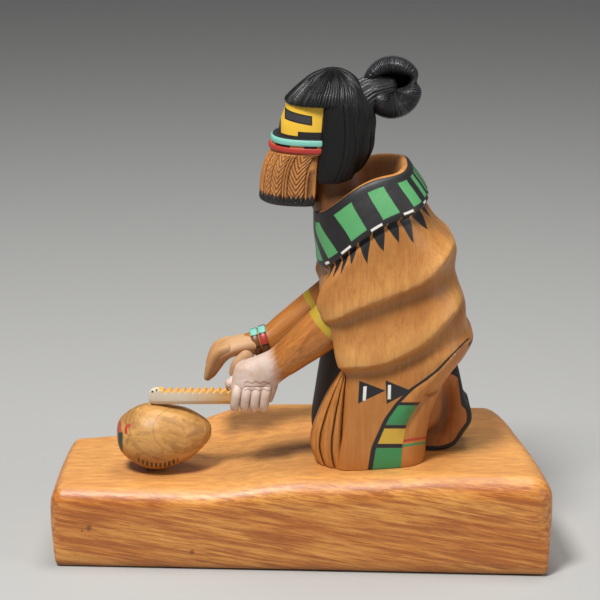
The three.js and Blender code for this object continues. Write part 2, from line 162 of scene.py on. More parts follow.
QUARTER = np.arange(240) / 240
QUARTER = QUARTER**3 / (QUARTER**3 + (1 - QUARTER) ** 3) * math.pi / 2
ANGLES = np.concatenate([QUARTER + k * math.pi / 2 for k in range(4)])


def oval(shares, z, front, back, half, square, back_square=None, z_back=None, widest=0.5,
         rise=0.0, y=0.0, shift=None, late=1.0):
    """One flattened round ring for each height z, from the middle of its back"""
    if isinstance(shares, int):
        shares = np.arange(shares) / shares
    given = (front, back, half, square, square if back_square is None else back_square,
             z if z_back is None else z_back, widest, rise, late)
    front, back, half, square, back_square, z_back, widest, rise, late = (
        np.broadcast_to(np.asarray(v, float), z.shape)[:, None] for v in given
    )
    c, s = np.cos(ANGLES)[None, :], np.sin(ANGLES)[None, :]
    middle = mix(front, back, widest)
    exponent = 2 / np.where(c > 0, back_square, square)
    reach = np.where(c > 0, back - middle, middle - front)
    x = middle + power(c, exponent) * reach
    side = power(s, exponent) * half
    along = np.clip((x - front) / (back - front), 0, 1)
    out = np.zeros_like(x) if shift is None else shift(c, s, along)
    height = mix(z[:, None], z_back, along**late) + rise * s * s * np.sin(math.pi * along)
    return evenly(np.stack([x + out * c, y + side + out * s, height], -1), shares)


def outward(rings, loop=False):
    """The surface's own direction at each point of a stack of rings"""
    around = np.roll(rings, -1, axis=1) - np.roll(rings, 1, axis=1)
    if loop:
        along = np.roll(rings, -1, axis=0) - np.roll(rings, 1, axis=0)
    else:
        along = np.gradient(rings, axis=0)
    way = np.cross(around, along)
    way /= np.maximum(np.linalg.norm(way, axis=2, keepdims=True), 1e-9)
    from_middle = rings - rings.mean(axis=1, keepdims=True)
    sign = 1 if np.mean(np.sum(way * from_middle, axis=2)) > 0 else -1
    return way * sign


DOME = np.radians([18, 36, 52, 66, 78, 86])


def domed(centre, heading, wide, high):
    """A limb's line with a round end after its last station"""
    out = heading[-1] * min(wide[-1], high[-1])
    return [
        np.vstack([centre, centre[-1] + out * np.sin(DOME)[:, None]]),
        np.vstack([heading, np.repeat(heading[-1:], len(DOME), axis=0)]),
        np.concatenate([wide, wide[-1] * np.cos(DOME)]),
        np.concatenate([high, high[-1] * np.cos(DOME)]),
    ]


def limb(stations, count=24, pitch=0.8, side=(0, 1, 0), dome=True, start_dome=False):
    """Rings along stations [x, y, z, half width along side, half width across it]"""
    rows = through(stations, pitch)
    heading = np.gradient(rows[:, :3], axis=0)
    heading /= np.linalg.norm(heading, axis=1, keepdims=True)
    line = [rows[:, :3], heading, rows[:, 3], rows[:, 4]]
    if dome:
        line = domed(*line)
    if start_dome:
        line[1] = -line[1]
        line = [part[::-1] for part in domed(*(part[::-1] for part in line))]
        line[1] = -line[1]
    centre, heading, wide, high = line
    other = np.cross(heading, side)
    other /= np.linalg.norm(other, axis=1, keepdims=True)
    first = np.cross(other, heading)
    angle = angles(count)
    return (
        centre[:, None]
        + first[:, None] * (wide[:, None] * np.cos(angle))[..., None]
        + other[:, None] * (high[:, None] * np.sin(angle))[..., None]
    )


def gone_along(rings):
    """How far each ring lies from a limb's start"""
    gaps = np.linalg.norm(np.diff(rings.mean(axis=1), axis=0), axis=1)
    return np.concatenate([[0], np.cumsum(gaps)])[:, None]


def add_field(data, label, values):
    field = data.attributes.new(label, "FLOAT", "POINT")
    field.data.foreach_set("value", values.astype(np.float32))


def quads(index):
    """Faces between neighbours in a grid of point numbers"""
    corners = (index[:-1, :-1], index[:-1, 1:], index[1:, 1:], index[1:, :-1])
    return np.stack(corners, -1).reshape(-1, 4)


class Carving:
    """Closed skins with a finish each, gathered into one mesh"""

    def __init__(self):
        self.points = []
        self.faces = []
        self.finish = []
        self.count = 0

    # Besides run and level, each skin carries painted shade for its creases, gaps and hollows; the robe uses
    # that field to count its collar's blocks instead
    def add(self, rings, finish, run=0.0, level=0.0, groove=0.0, loop=False, mirror=False, seat=True):
        rows, around = rings.shape[:2]
        world = rings.copy()
        if seat:
            world += ON_SEAT
            ground = slab_top(world[..., 0], world[..., 1]) + CONTACT_GAP
            world[..., 2] = np.maximum(world[..., 2], ground)
        u, v = drawing(world, mirror)
        extra = [np.broadcast_to(value, (rows, around)) for value in (run, level, groove, u, v)]
        grid = np.concatenate([world, np.stack(extra, -1)], 2)
        points = grid.reshape(-1, grid.shape[2])
        index = np.arange(rows * around).reshape(rows, around)
        index = np.hstack([index, index[:, :1]])
        faces = [quads(np.vstack([index, index[:1]]) if loop else index)]
        if not loop:
            first, last = index[0], index[-1]
            hub = np.full(around, rows * around)
            points = np.vstack([points, grid[0].mean(0), grid[-1].mean(0)])
            faces.append(np.stack([hub, first[1:], first[:-1]], 1))
            faces.append(np.stack([hub + 1, last[:-1], last[1:]], 1))
        self.join(points, faces, finish)

    def join(self, points, faces, finish):
        """Adds a closed skin, with its faces turned outward"""
        volume = 0
        for face in faces:
            for k in range(1, face.shape[1] - 1):
                p, q, w = (points[face[:, corner], :3] for corner in (0, k, k + 1))
                volume += np.sum(p * np.cross(q, w))
        for face in faces:
            turned = face if volume > 0 else face[:, ::-1]
            self.faces.extend((turned + self.count).tolist())
            self.finish.extend([finish] * len(face))
        self.points.append(points)
        self.count += len(points)

    def piece(self, name, finishes, sharp=48):
        points = np.vstack(self.points)
        data = bpy.data.meshes.new(name)
        data.from_pydata((points[:, :3] * MM).tolist(), [], self.faces)
        for material in finishes:
            data.materials.append(material)
        order = {material.name.split(".")[0]: k for k, material in enumerate(finishes)}
        data.polygons.foreach_set("material_index", [order[name] for name in self.finish])
        for column, label in ((3, "run"), (4, "level"), (5, "groove")):
            add_field(data, label, points[:, column])
        flat = np.zeros((len(points), 3), np.float32)
        flat[:, :2] = points[:, 6:8]
        data.attributes.new("drawing", "FLOAT_VECTOR", "POINT").data.foreach_set("vector", flat.ravel())
        data.validate()
        data.shade_smooth()
        data.set_sharp_from_angle(angle=math.radians(sharp))
        thing = bpy.data.objects.new(name, data)
        bpy.context.scene.collection.objects.link(thing)
        print(name, "triangles", sum(len(f) - 2 for f in self.faces))
        return thing


# The slab: how many steps its mesh has along, across and round each edge
SLAB_COLUMNS = 110
SLAB_ROWS = 56
EDGE_STEPS = 7


def slab_top(x, y):
    floor = mix(FLOOR_HEIGHT, SEAT_HEIGHT, ramp(-45, 4, x))
    seat = mix(floor, TAIL_HEIGHT, ramp(8, 62, x))
    far_slope = 2 * ramp(25, BASE_DEPTH / 2, y) * ramp(20, 90, x)
    bank_top = mix(FLOOR_HEIGHT, BANK_HEIGHT, ramp(-64, -20, x))
    bank = np.maximum(0, bank_top - seat) * ramp(14, 44, y + 0.18 * np.maximum(0, -20 - x))
    return seat - far_slope + bank


def edge_shares(half, radius):
    """Places round an edge in shares of the half size, out to the face"""
    return 1 - radius / half * (1 - np.tan(np.radians(np.linspace(0, 45, EDGE_STEPS))))


def face_shares(half, radius, count):
    edge = edge_shares(half, radius)
    return np.concatenate([-edge[::-1], np.linspace(-edge[0], edge[0], count)[1:-1], edge])


def box_skin(counts):
    """Which points of a grid lie on its outside, and the faces between them"""
    index = np.arange(np.prod(counts)).reshape(counts)
    faces = []
    for axis in range(3):
        for end in (0, -1):
            side = quads(index.take(end, axis))[:, [0, 3, 2, 1]]
            faces.append(side[:, ::-1] if (end == 0) != (axis == 1) else side)
    used, faces = np.unique(np.vstack(faces), return_inverse=True)
    return used, faces.reshape(-1, 4)


def slab():
    half = np.array([BASE_LENGTH, BASE_DEPTH, SEAT_HEIGHT]) / 2
    columns = face_shares(half[0], EDGE_RADIUS, SLAB_COLUMNS)
    rows = face_shares(half[1], EDGE_RADIUS, SLAB_ROWS)
    under = -edge_shares(half[2], UNDERSIDE_RADIUS)[::-1]
    over = edge_shares(half[2], EDGE_RADIUS)
    # Between these levels the small rounding of the underside passes into the large one
    low, high = under[-1], 0.2
    levels = np.concatenate([
        under, np.linspace(low, high, 8)[1:], np.linspace(high, over[0], 4)[1:-1], over,
    ])
    counts = (len(columns), len(rows), len(levels))
    used, faces = box_skin(counts)
    i, j, k = np.unravel_index(used, counts)
    x, y, level = columns[i] * half[0], rows[j] * half[1], levels[k]

    def rounded(z, radius):
        spot = np.stack([x, y, z], 1)
        floor = np.array([radius, radius, UNDERSIDE_RADIUS]) - half
        roof = half - np.array([radius, radius, EDGE_RADIUS])
        core = np.clip(spot, floor, roof)
        out = spot - core
        return core + out / np.maximum(np.linalg.norm(out, axis=1, keepdims=True), 1e-9) * radius

    soft = rounded(np.minimum(level, low) * half[2], UNDERSIDE_RADIUS)
    full = rounded(np.maximum(level, high) * half[2], EDGE_RADIUS)
    body = mix(soft, full, np.clip((level - low) / (high - low), 0, 1)[:, None])
    from_left = body[:, 0] + half[0]
    edge_share = np.minimum(from_left, EDGE_RADIUS) * LEFT_EDGE_RADIUS / EDGE_RADIUS
    beyond = np.maximum(0, from_left - EDGE_RADIUS) / (BASE_LENGTH - EDGE_RADIUS)
    u = (edge_share + beyond * (BASE_LENGTH - LEFT_EDGE_RADIUS)) / BASE_LENGTH
    v = body[:, 1] / BASE_DEPTH + 0.5
    height = body[:, 2] / SEAT_HEIGHT + 0.5
    belly = 1 - END_TUCK * (2 * height - 1.3) ** 2
    front_reach = mix(LEFT_FRONT_REACH, BASE_DEPTH / 2, u)
    back_reach = mix(LEFT_BACK_REACH, BASE_DEPTH / 2, ramp(-0.1, 0.5, u))
    right = BASE_LENGTH / 2 - RIGHT_END_SLANT * np.maximum(v, 0) ** 1.6
    left = -BASE_LENGTH / 2 + LEFT_END_SLANT * v**3
    px = mix(left, right, u) * belly
    py = mix(-front_reach, back_reach, v) * belly
    px = (px - (px.max() + px.min()) / 2) * BASE_LENGTH / np.ptp(px)
    py = (py - (py.max() + py.min()) / 2) * BASE_DEPTH / np.ptp(py)
    points = np.stack([px, py, height * slab_top(px, py)], 1)
    side_u, side_v = drawing(points, False)
    fields = np.stack([np.zeros(len(px))] * 3 + [side_u, side_v], 1)
    block = Carving()
    block.join(np.hstack([points, fields]), [faces], "slab_wood")
    return block


# The figure, in its own frame: z from the seat, y from its middle plane
# Robe rows: [z front, z back, x front, x back, half width, squareness, fold, hollow, rise, level,
# how late the row climbs on its way back]
ROBE = [
    [-4, -4, 14.6, 53.5, 30.6, 4.6, 0, 0, 0, -99, 1],
    [7, 7, 15.3, 53.6, 31.4, 4.6, 0, 1, 0, -90, 1],
    [18, 18, 16.7, 55, 31.6, 4.4, 0, 2, 0, -80, 1],
    [27, 29, 17.3, 58.4, 31.8, 4.2, 0, 3, 0, -70, 1],
    [34, 39.5, 17, 64.6, 32, 3.8, 0, 3, 0, -62, 1.15],
    [38.5, 47.5, 16.3, 70.6, 32.2, 3.5, 0, 3, 0, -56, 1.4],
    [42, 53.6, 15.8, 73.4, 32.3, 4, -0.2, 3, 0, -51, 1.8],
    [44, 59.2, 15.6, 70.6, 32.4, 4, -0.4, 3, 0, -47, 2],
    [46.8, 67.4, 14.8, 69.9, 32.4, 4.2, 0.6, 3, 0, -42, 2],
    [54, 74.5, 12, 67.4, 32.4, 4.6, 0, 3, 0, -36, 1.8],
    [61.6, 83.6, 9.6, 65.2, 32.6, 4.8, -0.5, 3.4, 0, -30, 1.4],
    [66, 91, 7.6, 65.8, 32.8, 4.6, 0.3, 3.4, 0.5, -25, 1.3],
    [72.5, 96.8, 4.8, 62.2, 33, 4, 0.2, 3.4, 1.5, -18.4, 1.15],
    [78.6, 102, 6.6, 57.2, 33, 3.4, -0.6, 3, 3, -11.2, 1],
    [82.4, 108.6, 8.5, 53, 32.6, 2.9, -0.9, 2, 5, -4, 1],
    [83.6, 111.4, 8.6, 51.4, 32, 2.8, -1.1, 1, 5, -1.8, 1],
    [84.6, 114.4, 7.2, 53.6, 33, 2.7, 0, 0, 5, 0, 1],
    [91.5, 118.8, 6.4, 51.2, 31.2, 2.6, 0, 0, 5, 5.6, 1],
    [99.5, 123, 5.6, 48.2, 28.8, 2.5, 0, 0, 5, 11.6, 1],
    [106.4, 126.6, 5.6, 45.4, 26.4, 2.4, 0, 0, 5, 17, 1],
    [107, 127, 8, 43, 24.2, 2.4, 0, 0, 5, 19, 1],
    [98, 116, 12, 38.5, 19.5, 2.2, 0, 0, 4, 30, 1],
]

ROBE_PITCH = [2.6, 2.6, 2.2] + [1.3] * 4 + [0.95] * 6 + [1.25] * 8
ROBE_AROUND = 184
FOLD_DEPTH = 1.7

# How far round the collar its green blocks begin, at a whole number, and end, at a half
BLOCKS = np.array([
    (-0.2, -0.5), (0.02, 0), (0.14, 0.5), (0.2, 1), (0.28, 1.5), (0.377, 2), (0.465, 2.5), (0.547, 3),
    (0.623, 3.5), (0.693, 4), (0.753, 4.5), (0.8, 5), (0.845, 5.5), (0.89, 6), (0.93, 6.5), (0.97, 7),
    (1.05, 7.5),
])
# How much the blocks lean, by how far round they are
BLOCK_LEAN = np.array([
    (0, 0.24), (0.1, 0.2), (0.24, 0.13), (0.42, 0.05), (0.585, 0.028), (0.72, 0.02), (1, 0),
])
# How far round each tab of the fringe has its tip, and how far down
TABS = np.array([
    (0, 4.5), (0.037, 4.2), (0.074, 4.8), (0.124, 5), (0.174, 5.8), (0.224, 6.4), (0.274, 7), (0.324, 8.4),
    (0.37, 10), (0.415, 8), (0.488, 12), (0.559, 10), (0.624, 9), (0.679, 11.4), (0.775, 9), (0.867, 7),
    (0.935, 6), (1, 6.5),
])

# The painted edge of the wrap and the crease behind it, on the side drawing
EDGE_LINE = np.array([
    (478, 330), (463, 343.6), (449, 358), (437.8, 370), (425, 380), (412.5, 388.4), (404.5, 396),
    (397.6, 403.3), (386, 419.4), (379, 435.5), (373.5, 448), (370, 470), (369, 490),
])
CREASE = np.array([
    (478, 330), (464.5, 345), (453, 360), (440, 377.5), (429, 391), (418.8, 403.8), (411, 416),
    (405.5, 427.5), (402.5, 445), (400.8, 470), (400, 490),
])

# The two hard creases that sweep round the wrap, on the side drawing
UPPER_FOLD = np.array([
    (320, 321), (334, 319), (350, 312), (363, 305.5), (380, 300), (400, 292), (420, 284), (435, 272.5),
    (445, 260), (452, 247), (460, 230),
])
LOWER_FOLD = np.array([
    (325, 368), (340, 366.5), (370, 365), (385, 362), (400, 355.5), (420, 345.5), (435, 332.5),
    (450, 317), (460, 303), (466, 288), (472, 270),
])


def swag(u, v):
    """Cloth hanging over two creases: full above each, hollow just below it, from 1 to -0.8"""
    upper = v - np.interp(u, *UPPER_FOLD.T)
    lower = v - np.interp(u, *LOWER_FOLD.T)
    share = np.clip(upper / np.maximum(upper - lower, 1), 0, 1)
    above = 0.5 + 0.5 * np.cos(math.pi * np.clip(-upper / 34, 0, 1))
    deepest = 0.15 + 0.13 * ramp(425, 450, u)
    drop = 1 - 1.8 * np.sin(math.pi / 2 * np.clip(share / deepest, 0, 1))
    swell = 1 - 0.9 * (1 + np.cos(math.pi * np.clip((share - deepest) / (0.92 - deepest), 0, 1)))
    between = np.where(share < deepest, drop, swell)
    tuck = 1 - 1.8 * np.sin(math.pi / 2 * np.clip(lower / 11, 0, 1))
    settle = -0.4 * (1 + np.cos(math.pi * np.clip((lower - 11) / 24, 0, 1)))
    below = np.where(lower < 11, tuck, settle)
    return np.where(upper < 0, above, np.where(lower < 0, between, below))


def beside(line, u, v):
    """How far a spot on the drawing is from a line, more than 0 to its right"""
    lean = np.gradient(line[:, 0], line[:, 1])
    slant = np.interp(v, line[:, 1], lean)
    return (u - np.interp(v, line[:, 1], line[:, 0])) / np.sqrt(1 + slant**2)


def robe(body):
    z, z_back, front, back, half, square, fold, hollow, rise, level, late = through(ROBE, ROBE_PITCH).T
    blunt = mix(square, 8.5, ramp(84, 76, z))

    def shift(c, s, along):
        sideways = ramp(0.25, 0.8, np.abs(s)) * ramp(0, 0.25, along)
        opening = np.where(c < 0, 1 - ramp(0.45, 0.72, np.abs(s)), 0)
        return fold[:, None] * sideways - hollow[:, None] * opening

    rings = oval(ROBE_AROUND, z, front, back, half, blunt, back_square=np.where(z < 30, square, 3.2),
                 z_back=z_back, rise=rise, shift=shift, late=late)
    level = level[:, None]
    x, y = rings[..., 0], np.abs(rings[..., 1])
    u, v = drawing(rings + ON_SEAT, True)
    edge = beside(EDGE_LINE, u, v)
    crease = beside(CREASE, u, v)
    # The wrap's rolled edge, the tuck behind it and the cloth further back
    band = np.clip(edge / np.maximum(edge - crease, 1), 0, 1)
    roll = np.sin(math.pi * band) * ramp(440, 405, v) * 1.1
    tuck = -1.3 * bell(crease, 1.5, 4.5) * ramp(470, 420, v)
    behind = -0.5 * ramp(0, 5, crease)
    on_side = ramp(18, 27, y) * ramp(340, 352, v)
    # The two sweeping folds
    flank = ramp(9, 24, y) * ramp(72, 66, x) * (0.3 + 0.7 * ramp(8, 20, x))
    fall = FOLD_DEPTH * flank * swag(u, v) * ramp(-99, -94, level)
    rings = rings + outward(rings) * (on_side * (roll + tuck + behind) + fall)[..., None]
    run = np.abs(1 - 2 * np.arange(ROBE_AROUND) / ROBE_AROUND)[None, :]
    lean = np.interp(run, *BLOCK_LEAN.T)
    beat = np.interp(run + lean * (level - 7) / 11.5, *BLOCKS.T)
    body.add(rings, "robe_wood", run=run, level=level, groove=beat, mirror=True)


# Rows: [z, x front, x back, half width]
NECK = [
    [84, 10, 38, 18], [103, 6.8, 38, 18.6], [110, 4.4, 33, 15.6], [118, 4.6, 28, 14], [126, 5, 26, 13.4],
]
# Rows: [z, x front, half width]
DRESS = [
    [-4, 9, 18], [6, 6, 19], [14.5, 4.9, 19.5], [28, 6.6, 20], [43, 9, 20], [56, 12, 20], [66, 16, 18],
]
DRESS_BACK = 44
# Rows: [z, x front]
KNEE = [
    [-4, 10.6], [-0.6, 8.2], [4, 5.4], [9, 4.2], [13.5, 4.6], [22, 7.4], [33, 12.4], [42, 17.6], [46, 20],
]
# How far back the creases between the knee's folds lie, in shares of its width
KNEE_CREASES = [0, 0.27, 0.6, 0.86, 1.15]
KNEE_BACK = 19.5
FOLD_STEPS = 12
# A level below the collar, for skins without its paint
NO_PAINT = -5.0


def neck_and_chest(body):
    z, front, back, half = through(NECK, 2.2).T
    # The whole neck is painted darker, as shade under the hair and collar
    body.add(oval(56, z, front, back, half, 2.3, z_back=z + 3), "skin_wood", level=NO_PAINT, groove=0.75)


def dress(body):
    z, front, half = through(DRESS, 2.2).T
    body.add(oval(64, z, front, DRESS_BACK, half, 2.4, back_square=4, widest=0.4), "dress_black")


def knee_folds(body, side, set_back):
    z, lead = through(KNEE, 1.3).T
    front = np.minimum(lead + set_back, KNEE_BACK - 1.1)
    spots = []
    for low, high in zip(KNEE_CREASES, KNEE_CREASES[1:]):
        for t in np.arange(FOLD_STEPS) / FOLD_STEPS:
            share = mix(low, high, t)
            swell = 1.5 * math.sin(math.pi * t) ** 0.6
            depth = 17.1 + 9.5 * math.sqrt(min(1, share * 1.6)) + swell
            # The last value is painted shade, strongest at the crease between two folds
            spots.append((share, depth, max(0, 1 - 6 * min(t, 1 - t)) if spots else 0))
    spots += [(1.2, 26, 0), (1.2, 10, 0), (0.5, 8.5, 0), (0.12, 11.5, 0)]
    share, depth, dark = np.array(spots).T
    x = front[:, None] + share * (KNEE_BACK - front)[:, None]
    rings = np.stack(np.broadcast_arrays(x, side * depth, z[:, None]), -1)
    body.add(rings, "skin_wood", level=NO_PAINT, groove=dark)


def bezier(a, b, c, count):
    t = (np.arange(count) + 1)[:, None] / count
    return (1 - t) ** 2 * np.array(a) + 2 * t * (1 - t) * np.array(b) + t**2 * np.array(c)


# The foot's outline from FOOT_START: [bend, end, steps] of each curve
FOOT_START = (50, -3)
FOOT_CURVES = [
    ((56, 0), (61, 2.6), 6), ((65.5, 3.4), (67.5, 6), 6), ((70.2, 10.3), (73, 14.6), 8),
    ((74, 18), (72.6, 21.6), 6), ((71.6, 22.8), (70.6, 24), 3), ((69.2, 30.5), (67.8, 37), 8),
    ((65, 40), (60, 38), 6), ((55, 37), (50, 36), 6), ((50, 17), (50, -3), 16),
]
SOLE_POINTS = 41
FOOT_MIDDLE = np.array([60.5, 18])
FOOT_Y = 5.4
FOOT_HALF = 5.0
FOOT_BEVEL = 1.2
# The hollow between ankle and foot: [x, z] along its floor
ANKLE_HOLLOW = np.array([(50, 7.5), (56, 9.6), (59.4, 12), (61.8, 15.4), (62.8, 21), (62.6, 31)])


def foot(body, side):
    outline = [np.array([FOOT_START])]
    for bend, end, steps in FOOT_CURVES:
        outline.append(bezier(outline[-1][-1], bend, end, steps))
    spokes = np.vstack(outline)[:-1] - FOOT_MIDDLE
    reach = np.linalg.norm(spokes, axis=1)
    sole = np.arange(len(spokes)) < SOLE_POINTS
    # Rings from one face over the rim to the other: [share of the outline, inset, half thickness]
    cap = [(share, 0, FOOT_HALF) for share in (0.05, 0.15, 0.3, 0.42, 0.54, 0.64, 0.72, 0.79, 0.85, 0.9)]
    for a in np.radians([0, 30, 60, 90]):
        cap.append((1, FOOT_BEVEL * (1 - math.sin(a)), FOOT_HALF - FOOT_BEVEL * (1 - math.cos(a))))
    wall = [(1, 0, out) for out in (2.6, 1.3, 0, -1.3, -2.6)]
    other = [(share, inset, -out) for share, inset, out in reversed(cap)]
    rings = []
    level = []
    for share, inset, out in cap + wall + other:
        part = share - inset / reach
        x, z = (FOOT_MIDDLE + spokes * part[:, None]).T
        dip = np.zeros(len(x))
        if abs(out) == FOOT_HALF:
            dip = 2.8 * bell(beside(ANKLE_HOLLOW, x, z), 0, 3.2) * ramp(3, 7, z) * ramp(36, 26, z)
            dip = dip * ramp(0, 0.12, 1 - part)
        rings.append(np.stack([x, side * FOOT_Y - np.sign(out) * (abs(out) - dip), z], 1))
        level.append(np.maximum(np.where(sole, 3 - (1 - part) * reach, -3), 5.2 - z))
    rings = np.array(rings)
    # Painted shade along the floor of the hollow between ankle and foot
    floor_gap = beside(ANKLE_HOLLOW, rings[..., 0], rings[..., 2])
    dark = 0.8 * bell(floor_gap, -0.8, 2.6) * ramp(40, 18, rings[..., 2])
    body.add(rings, "foot_wood", level=np.array(level), groove=dark, mirror=True)


# Stations of the arms, for limb
NEAR_ARM = [
    [32, -16, 84, 8, 8], [20, -18.5, 70, 8.8, 8.8], [10.9, -20.8, 60.8, 9.2, 9.2],
    [-1.2, -20, 50.4, 7.7, 7.8], [-8.4, -18.5, 44.2, 6.6, 6.6], [-14, -17.5, 41.6, 6, 5.8],
]
FAR_ARM = [
    [30, 16, 82, 8, 8], [18, 18.5, 67.5, 8.6, 8.6], [7.3, 21, 57.6, 8.5, 8.5],
    [-5, 20.5, 49, 7.2, 7.2], [-13, 19.6, 43.6, 6.2, 6.2], [-22, 19.2, 41.4, 5.6, 5],
]
# Where the near hand holds the rasp
GRIP = np.array([-19.4, -17, 26.8])


def arms(body):
    for stations, finish in ((NEAR_ARM, "near_arm"), (FAR_ARM, "far_arm")):
        rings = limb(stations, 40, 1.6)
        body.add(rings, finish, level=gone_along(rings))


# A bracelet's section: [how far along the arm, share of its radius]
BAND = [(-1.6, 0.9), (-1.45, 0.99), (-1.2, 1.02), (0, 1.03), (1.2, 1.02), (1.45, 0.99), (1.6, 0.9)]
BAND_AROUND = 72
ARM_RISE = 0.28


def bracelets(body):
    for x, z, radius, finish in ((-15.1, 42.9, 6.9, "bracelet_one"), (-18.7, 41.9, 6.6, "bracelet_two")):
        stations = [[x + d, 19.5, z + ARM_RISE * d, radius * w, radius * w] for d, w in BAND]
        rings = limb(stations, BAND_AROUND, 5, dome=False)
        body.add(rings, finish, run=np.arange(BAND_AROUND) / BAND_AROUND)


FINGER_AROUND = 20
NEAR_FINGERS = (-27.4, -23.3, -19.2, -15.1)
FAR_FINGERS = (12.8, 17, 21.2, 25.2)


def finger(body, finish, stations, side=(0, 1, 0)):
    """A finger, with painted shade where it meets the next one but not at its tip"""
    rings = limb(stations, FINGER_AROUND, side=side, start_dome=True)
    dark = np.abs(np.cos(angles(FINGER_AROUND))) ** 10
    fade = ramp(1, 0.72, np.arange(len(rings)) / len(rings))[:, None]
    body.add(rings, finish, groove=dark * fade)


def near_hand(body):
    # The back of the hand: [z, x, half length, half thickness]
    z, x, half_x, half_y = through([
        [44.2, -20.4, 4.6, 4], [42.2, -19.4, 7.8, 5.2], [38, -18.8, 9.6, 5.8],
        [34, -19.2, 9.9, 5.8], [30, -19.9, 9.4, 5.4], [27, -20.4, 8.8, 4.4],
    ], 0.7).T
    body.add(oval(64, z, x - half_x, x + half_x, half_y, 2.6, y=GRIP[1]), "near_hand")
    body.add(limb([
        [-4, -19, 48, 6.9, 7.2], [-9, -18.6, 44, 6.2, 6.9], [-14, -18, 40.6, 5.9, 7.6],
        [-18.5, -17.6, 37.4, 5.7, 8.8], [-20.5, -17.8, 34, 5.6, 8.8],
    ], 44, 0.9), "near_hand")
    for x in NEAR_FINGERS:
        knuckle = -17.6 if x == NEAR_FINGERS[0] else -20.2
        finger(body, "near_hand", [
            [x + 1.6, knuckle, 35, 2.1, 2.4], [x + 0.6, -22.3, 31, 2.15, 2.4], [x, -21.8, 27, 2.05, 2.3],
            [x - 0.1, -19.4, 25, 1.9, 2.1], [x - 0.1, -16.8, 25.2, 1.8, 1.9],
        ], side=(1, 0, 0))
    thumb = [[-20, -13.5, 38, 3, 3], [-25, -13, 36, 2.8, 2.8], [-29.6, -14.6, 33.8, 2.4, 2.2]]
    body.add(limb(thumb, pitch=0.6), "near_hand")


def far_hand(body):
    body.add(limb([
        [-18, 19.2, 42.2, 6.2, 4.6], [-25, 19, 41.6, 7.6, 4], [-31, 19, 39.8, 8.4, 4],
        [-35, 19, 37.4, 8.4, 3.4],
    ], 48, 0.9), "far_hand")
    for y in FAR_FINGERS:
        finger(body, "far_hand", [
            [-31, y, 40.4, 2.2, 3.2], [-35, y, 37.8, 2.2, 3.8], [-37.6, y, 33.4, 2.1, 3.3],
            [-39.2, y, 30, 2, 2.5], [-40.2, y, 28.4, 1.7, 1.7],
        ])
    thumb = [[-23, 13, 38, 2.6, 3.6], [-27, 12, 34, 2.3, 3], [-29, 12.6, 30.2, 1.7, 2]]
    body.add(limb(thumb, start_dome=True), "far_hand")


# The mask: [z, x front, half width, x back]
MASK = [
    [110.8, -15.8, 16.6, 6], [112.2, -17.2, 17.2, 6.4], [119, -16.8, 17.6, 7], [126, -15.4, 17.8, 7.4],
    [131.6, -12.6, 17.8, 8], [133.1, -11.8, 18, 12], [133.35, -12.9, 18.8, 12], [134.3, -13.2, 19, 12],
    [135.3, -12.7, 18.9, 12], [135.6, -11.5, 18.2, 12], [136.2, -11.4, 18.2, 12], [136.45, -12.2, 19, 12],
    [137.5, -12.3, 19.2, 12], [138.8, -11.7, 19, 12], [139.2, -9.3, 17.6, 12],
    [144, -8.3, 17.6, 12], [150, -6.2, 17.6, 12], [152.6, -5.4, 17.5, 12], [153, -2, 14, 12],
]


MASK_PITCH = [0.6] + [0.42] * 3 + [0.5, 0.3, 0.4, 0.4, 0.3, 0.4, 0.3] + [0.5] * 3 + [1.2] * 4
BEARD_FOOT = 110.8
BEARD_TOP = 132.6
# Where each plait begins and ends, the ribs between them and the one plain slot, all measured
# round from the middle of the front
PLAITS = ((-6.3, 6.3), (8.6, 13.0), (13.8, 19.4), (21.4, 29.2))
RIBS = (7.4, 20.4, 30.2)
SLOT = 13.4
PLAIT_PITCH = 2.3
PLAIT_SLANT = 1.6


def beard_relief(w, z):
    """Depth of the beard's plaits, and painted shade in their cuts and slots: w is the way round from the
    middle of the front
    """
    depth = np.zeros_like(w)
    dark = np.zeros_like(w)
    for low, high in PLAITS:
        phase = (z - PLAIT_SLANT * np.abs(w - (low + high) / 2)) / PLAIT_PITCH
        cut = np.clip(1.7 * np.abs(2 * (phase % 1) - 1) - 0.7, 0, 1)
        on_plait = ramp(0, 0.5, np.minimum(w - low, high - w))
        depth -= 0.55 * cut * on_plait
        dark = np.maximum(dark, cut**0.6 * on_plait)
    for line in RIBS:
        away = np.abs(w - line)
        slot = np.minimum(bell(away, 1.25, 0.36) + bell(w, line, 0.26), 1)
        depth += 0.25 * bell(away, 0.55, 0.4) - 0.4 * slot
        dark = np.maximum(dark, slot)
    slot = bell(w, SLOT, 0.42)
    fade = ramp(BEARD_FOOT, BEARD_FOOT + 1.7, z) * ramp(BEARD_TOP, BEARD_TOP - 1.2, z)
    return (depth - 0.4 * slot) * fade, np.maximum(dark, slot) * fade


def mask(body):
    z, front, half, back = through(MASK, MASK_PITCH).T
    # Fine steps round the front, where the beard is cut, and few at the back
    shares = np.concatenate([
        np.linspace(0, 0.2, 7)[:-1], np.linspace(0.2, 0.8, 193)[:-1], np.linspace(0.8, 1, 7)[:-1],
    ])
    rings = oval(shares, z, front, back, half, 2.35, back_square=6, widest=0.86)
    around = np.linalg.norm(np.roll(rings, -1, axis=1) - rings, axis=2).sum(axis=1)
    w = np.abs(shares[None, :] - 0.5) * around[:, None]
    depth, dark = beard_relief(w, np.broadcast_to(z[:, None], w.shape))
    rings = rings + outward(rings) * depth[..., None]
    body.add(rings, "mask_paint", run=w, level=z[:, None], groove=dark)


STRAND = 3


def strands(around, depth):
    """Depth of narrow grooves set every few points, each a little different"""
    cut = np.zeros(around)
    cut[::STRAND] = chance.uniform(0.45, 1.25, around // STRAND)
    return -depth * cut


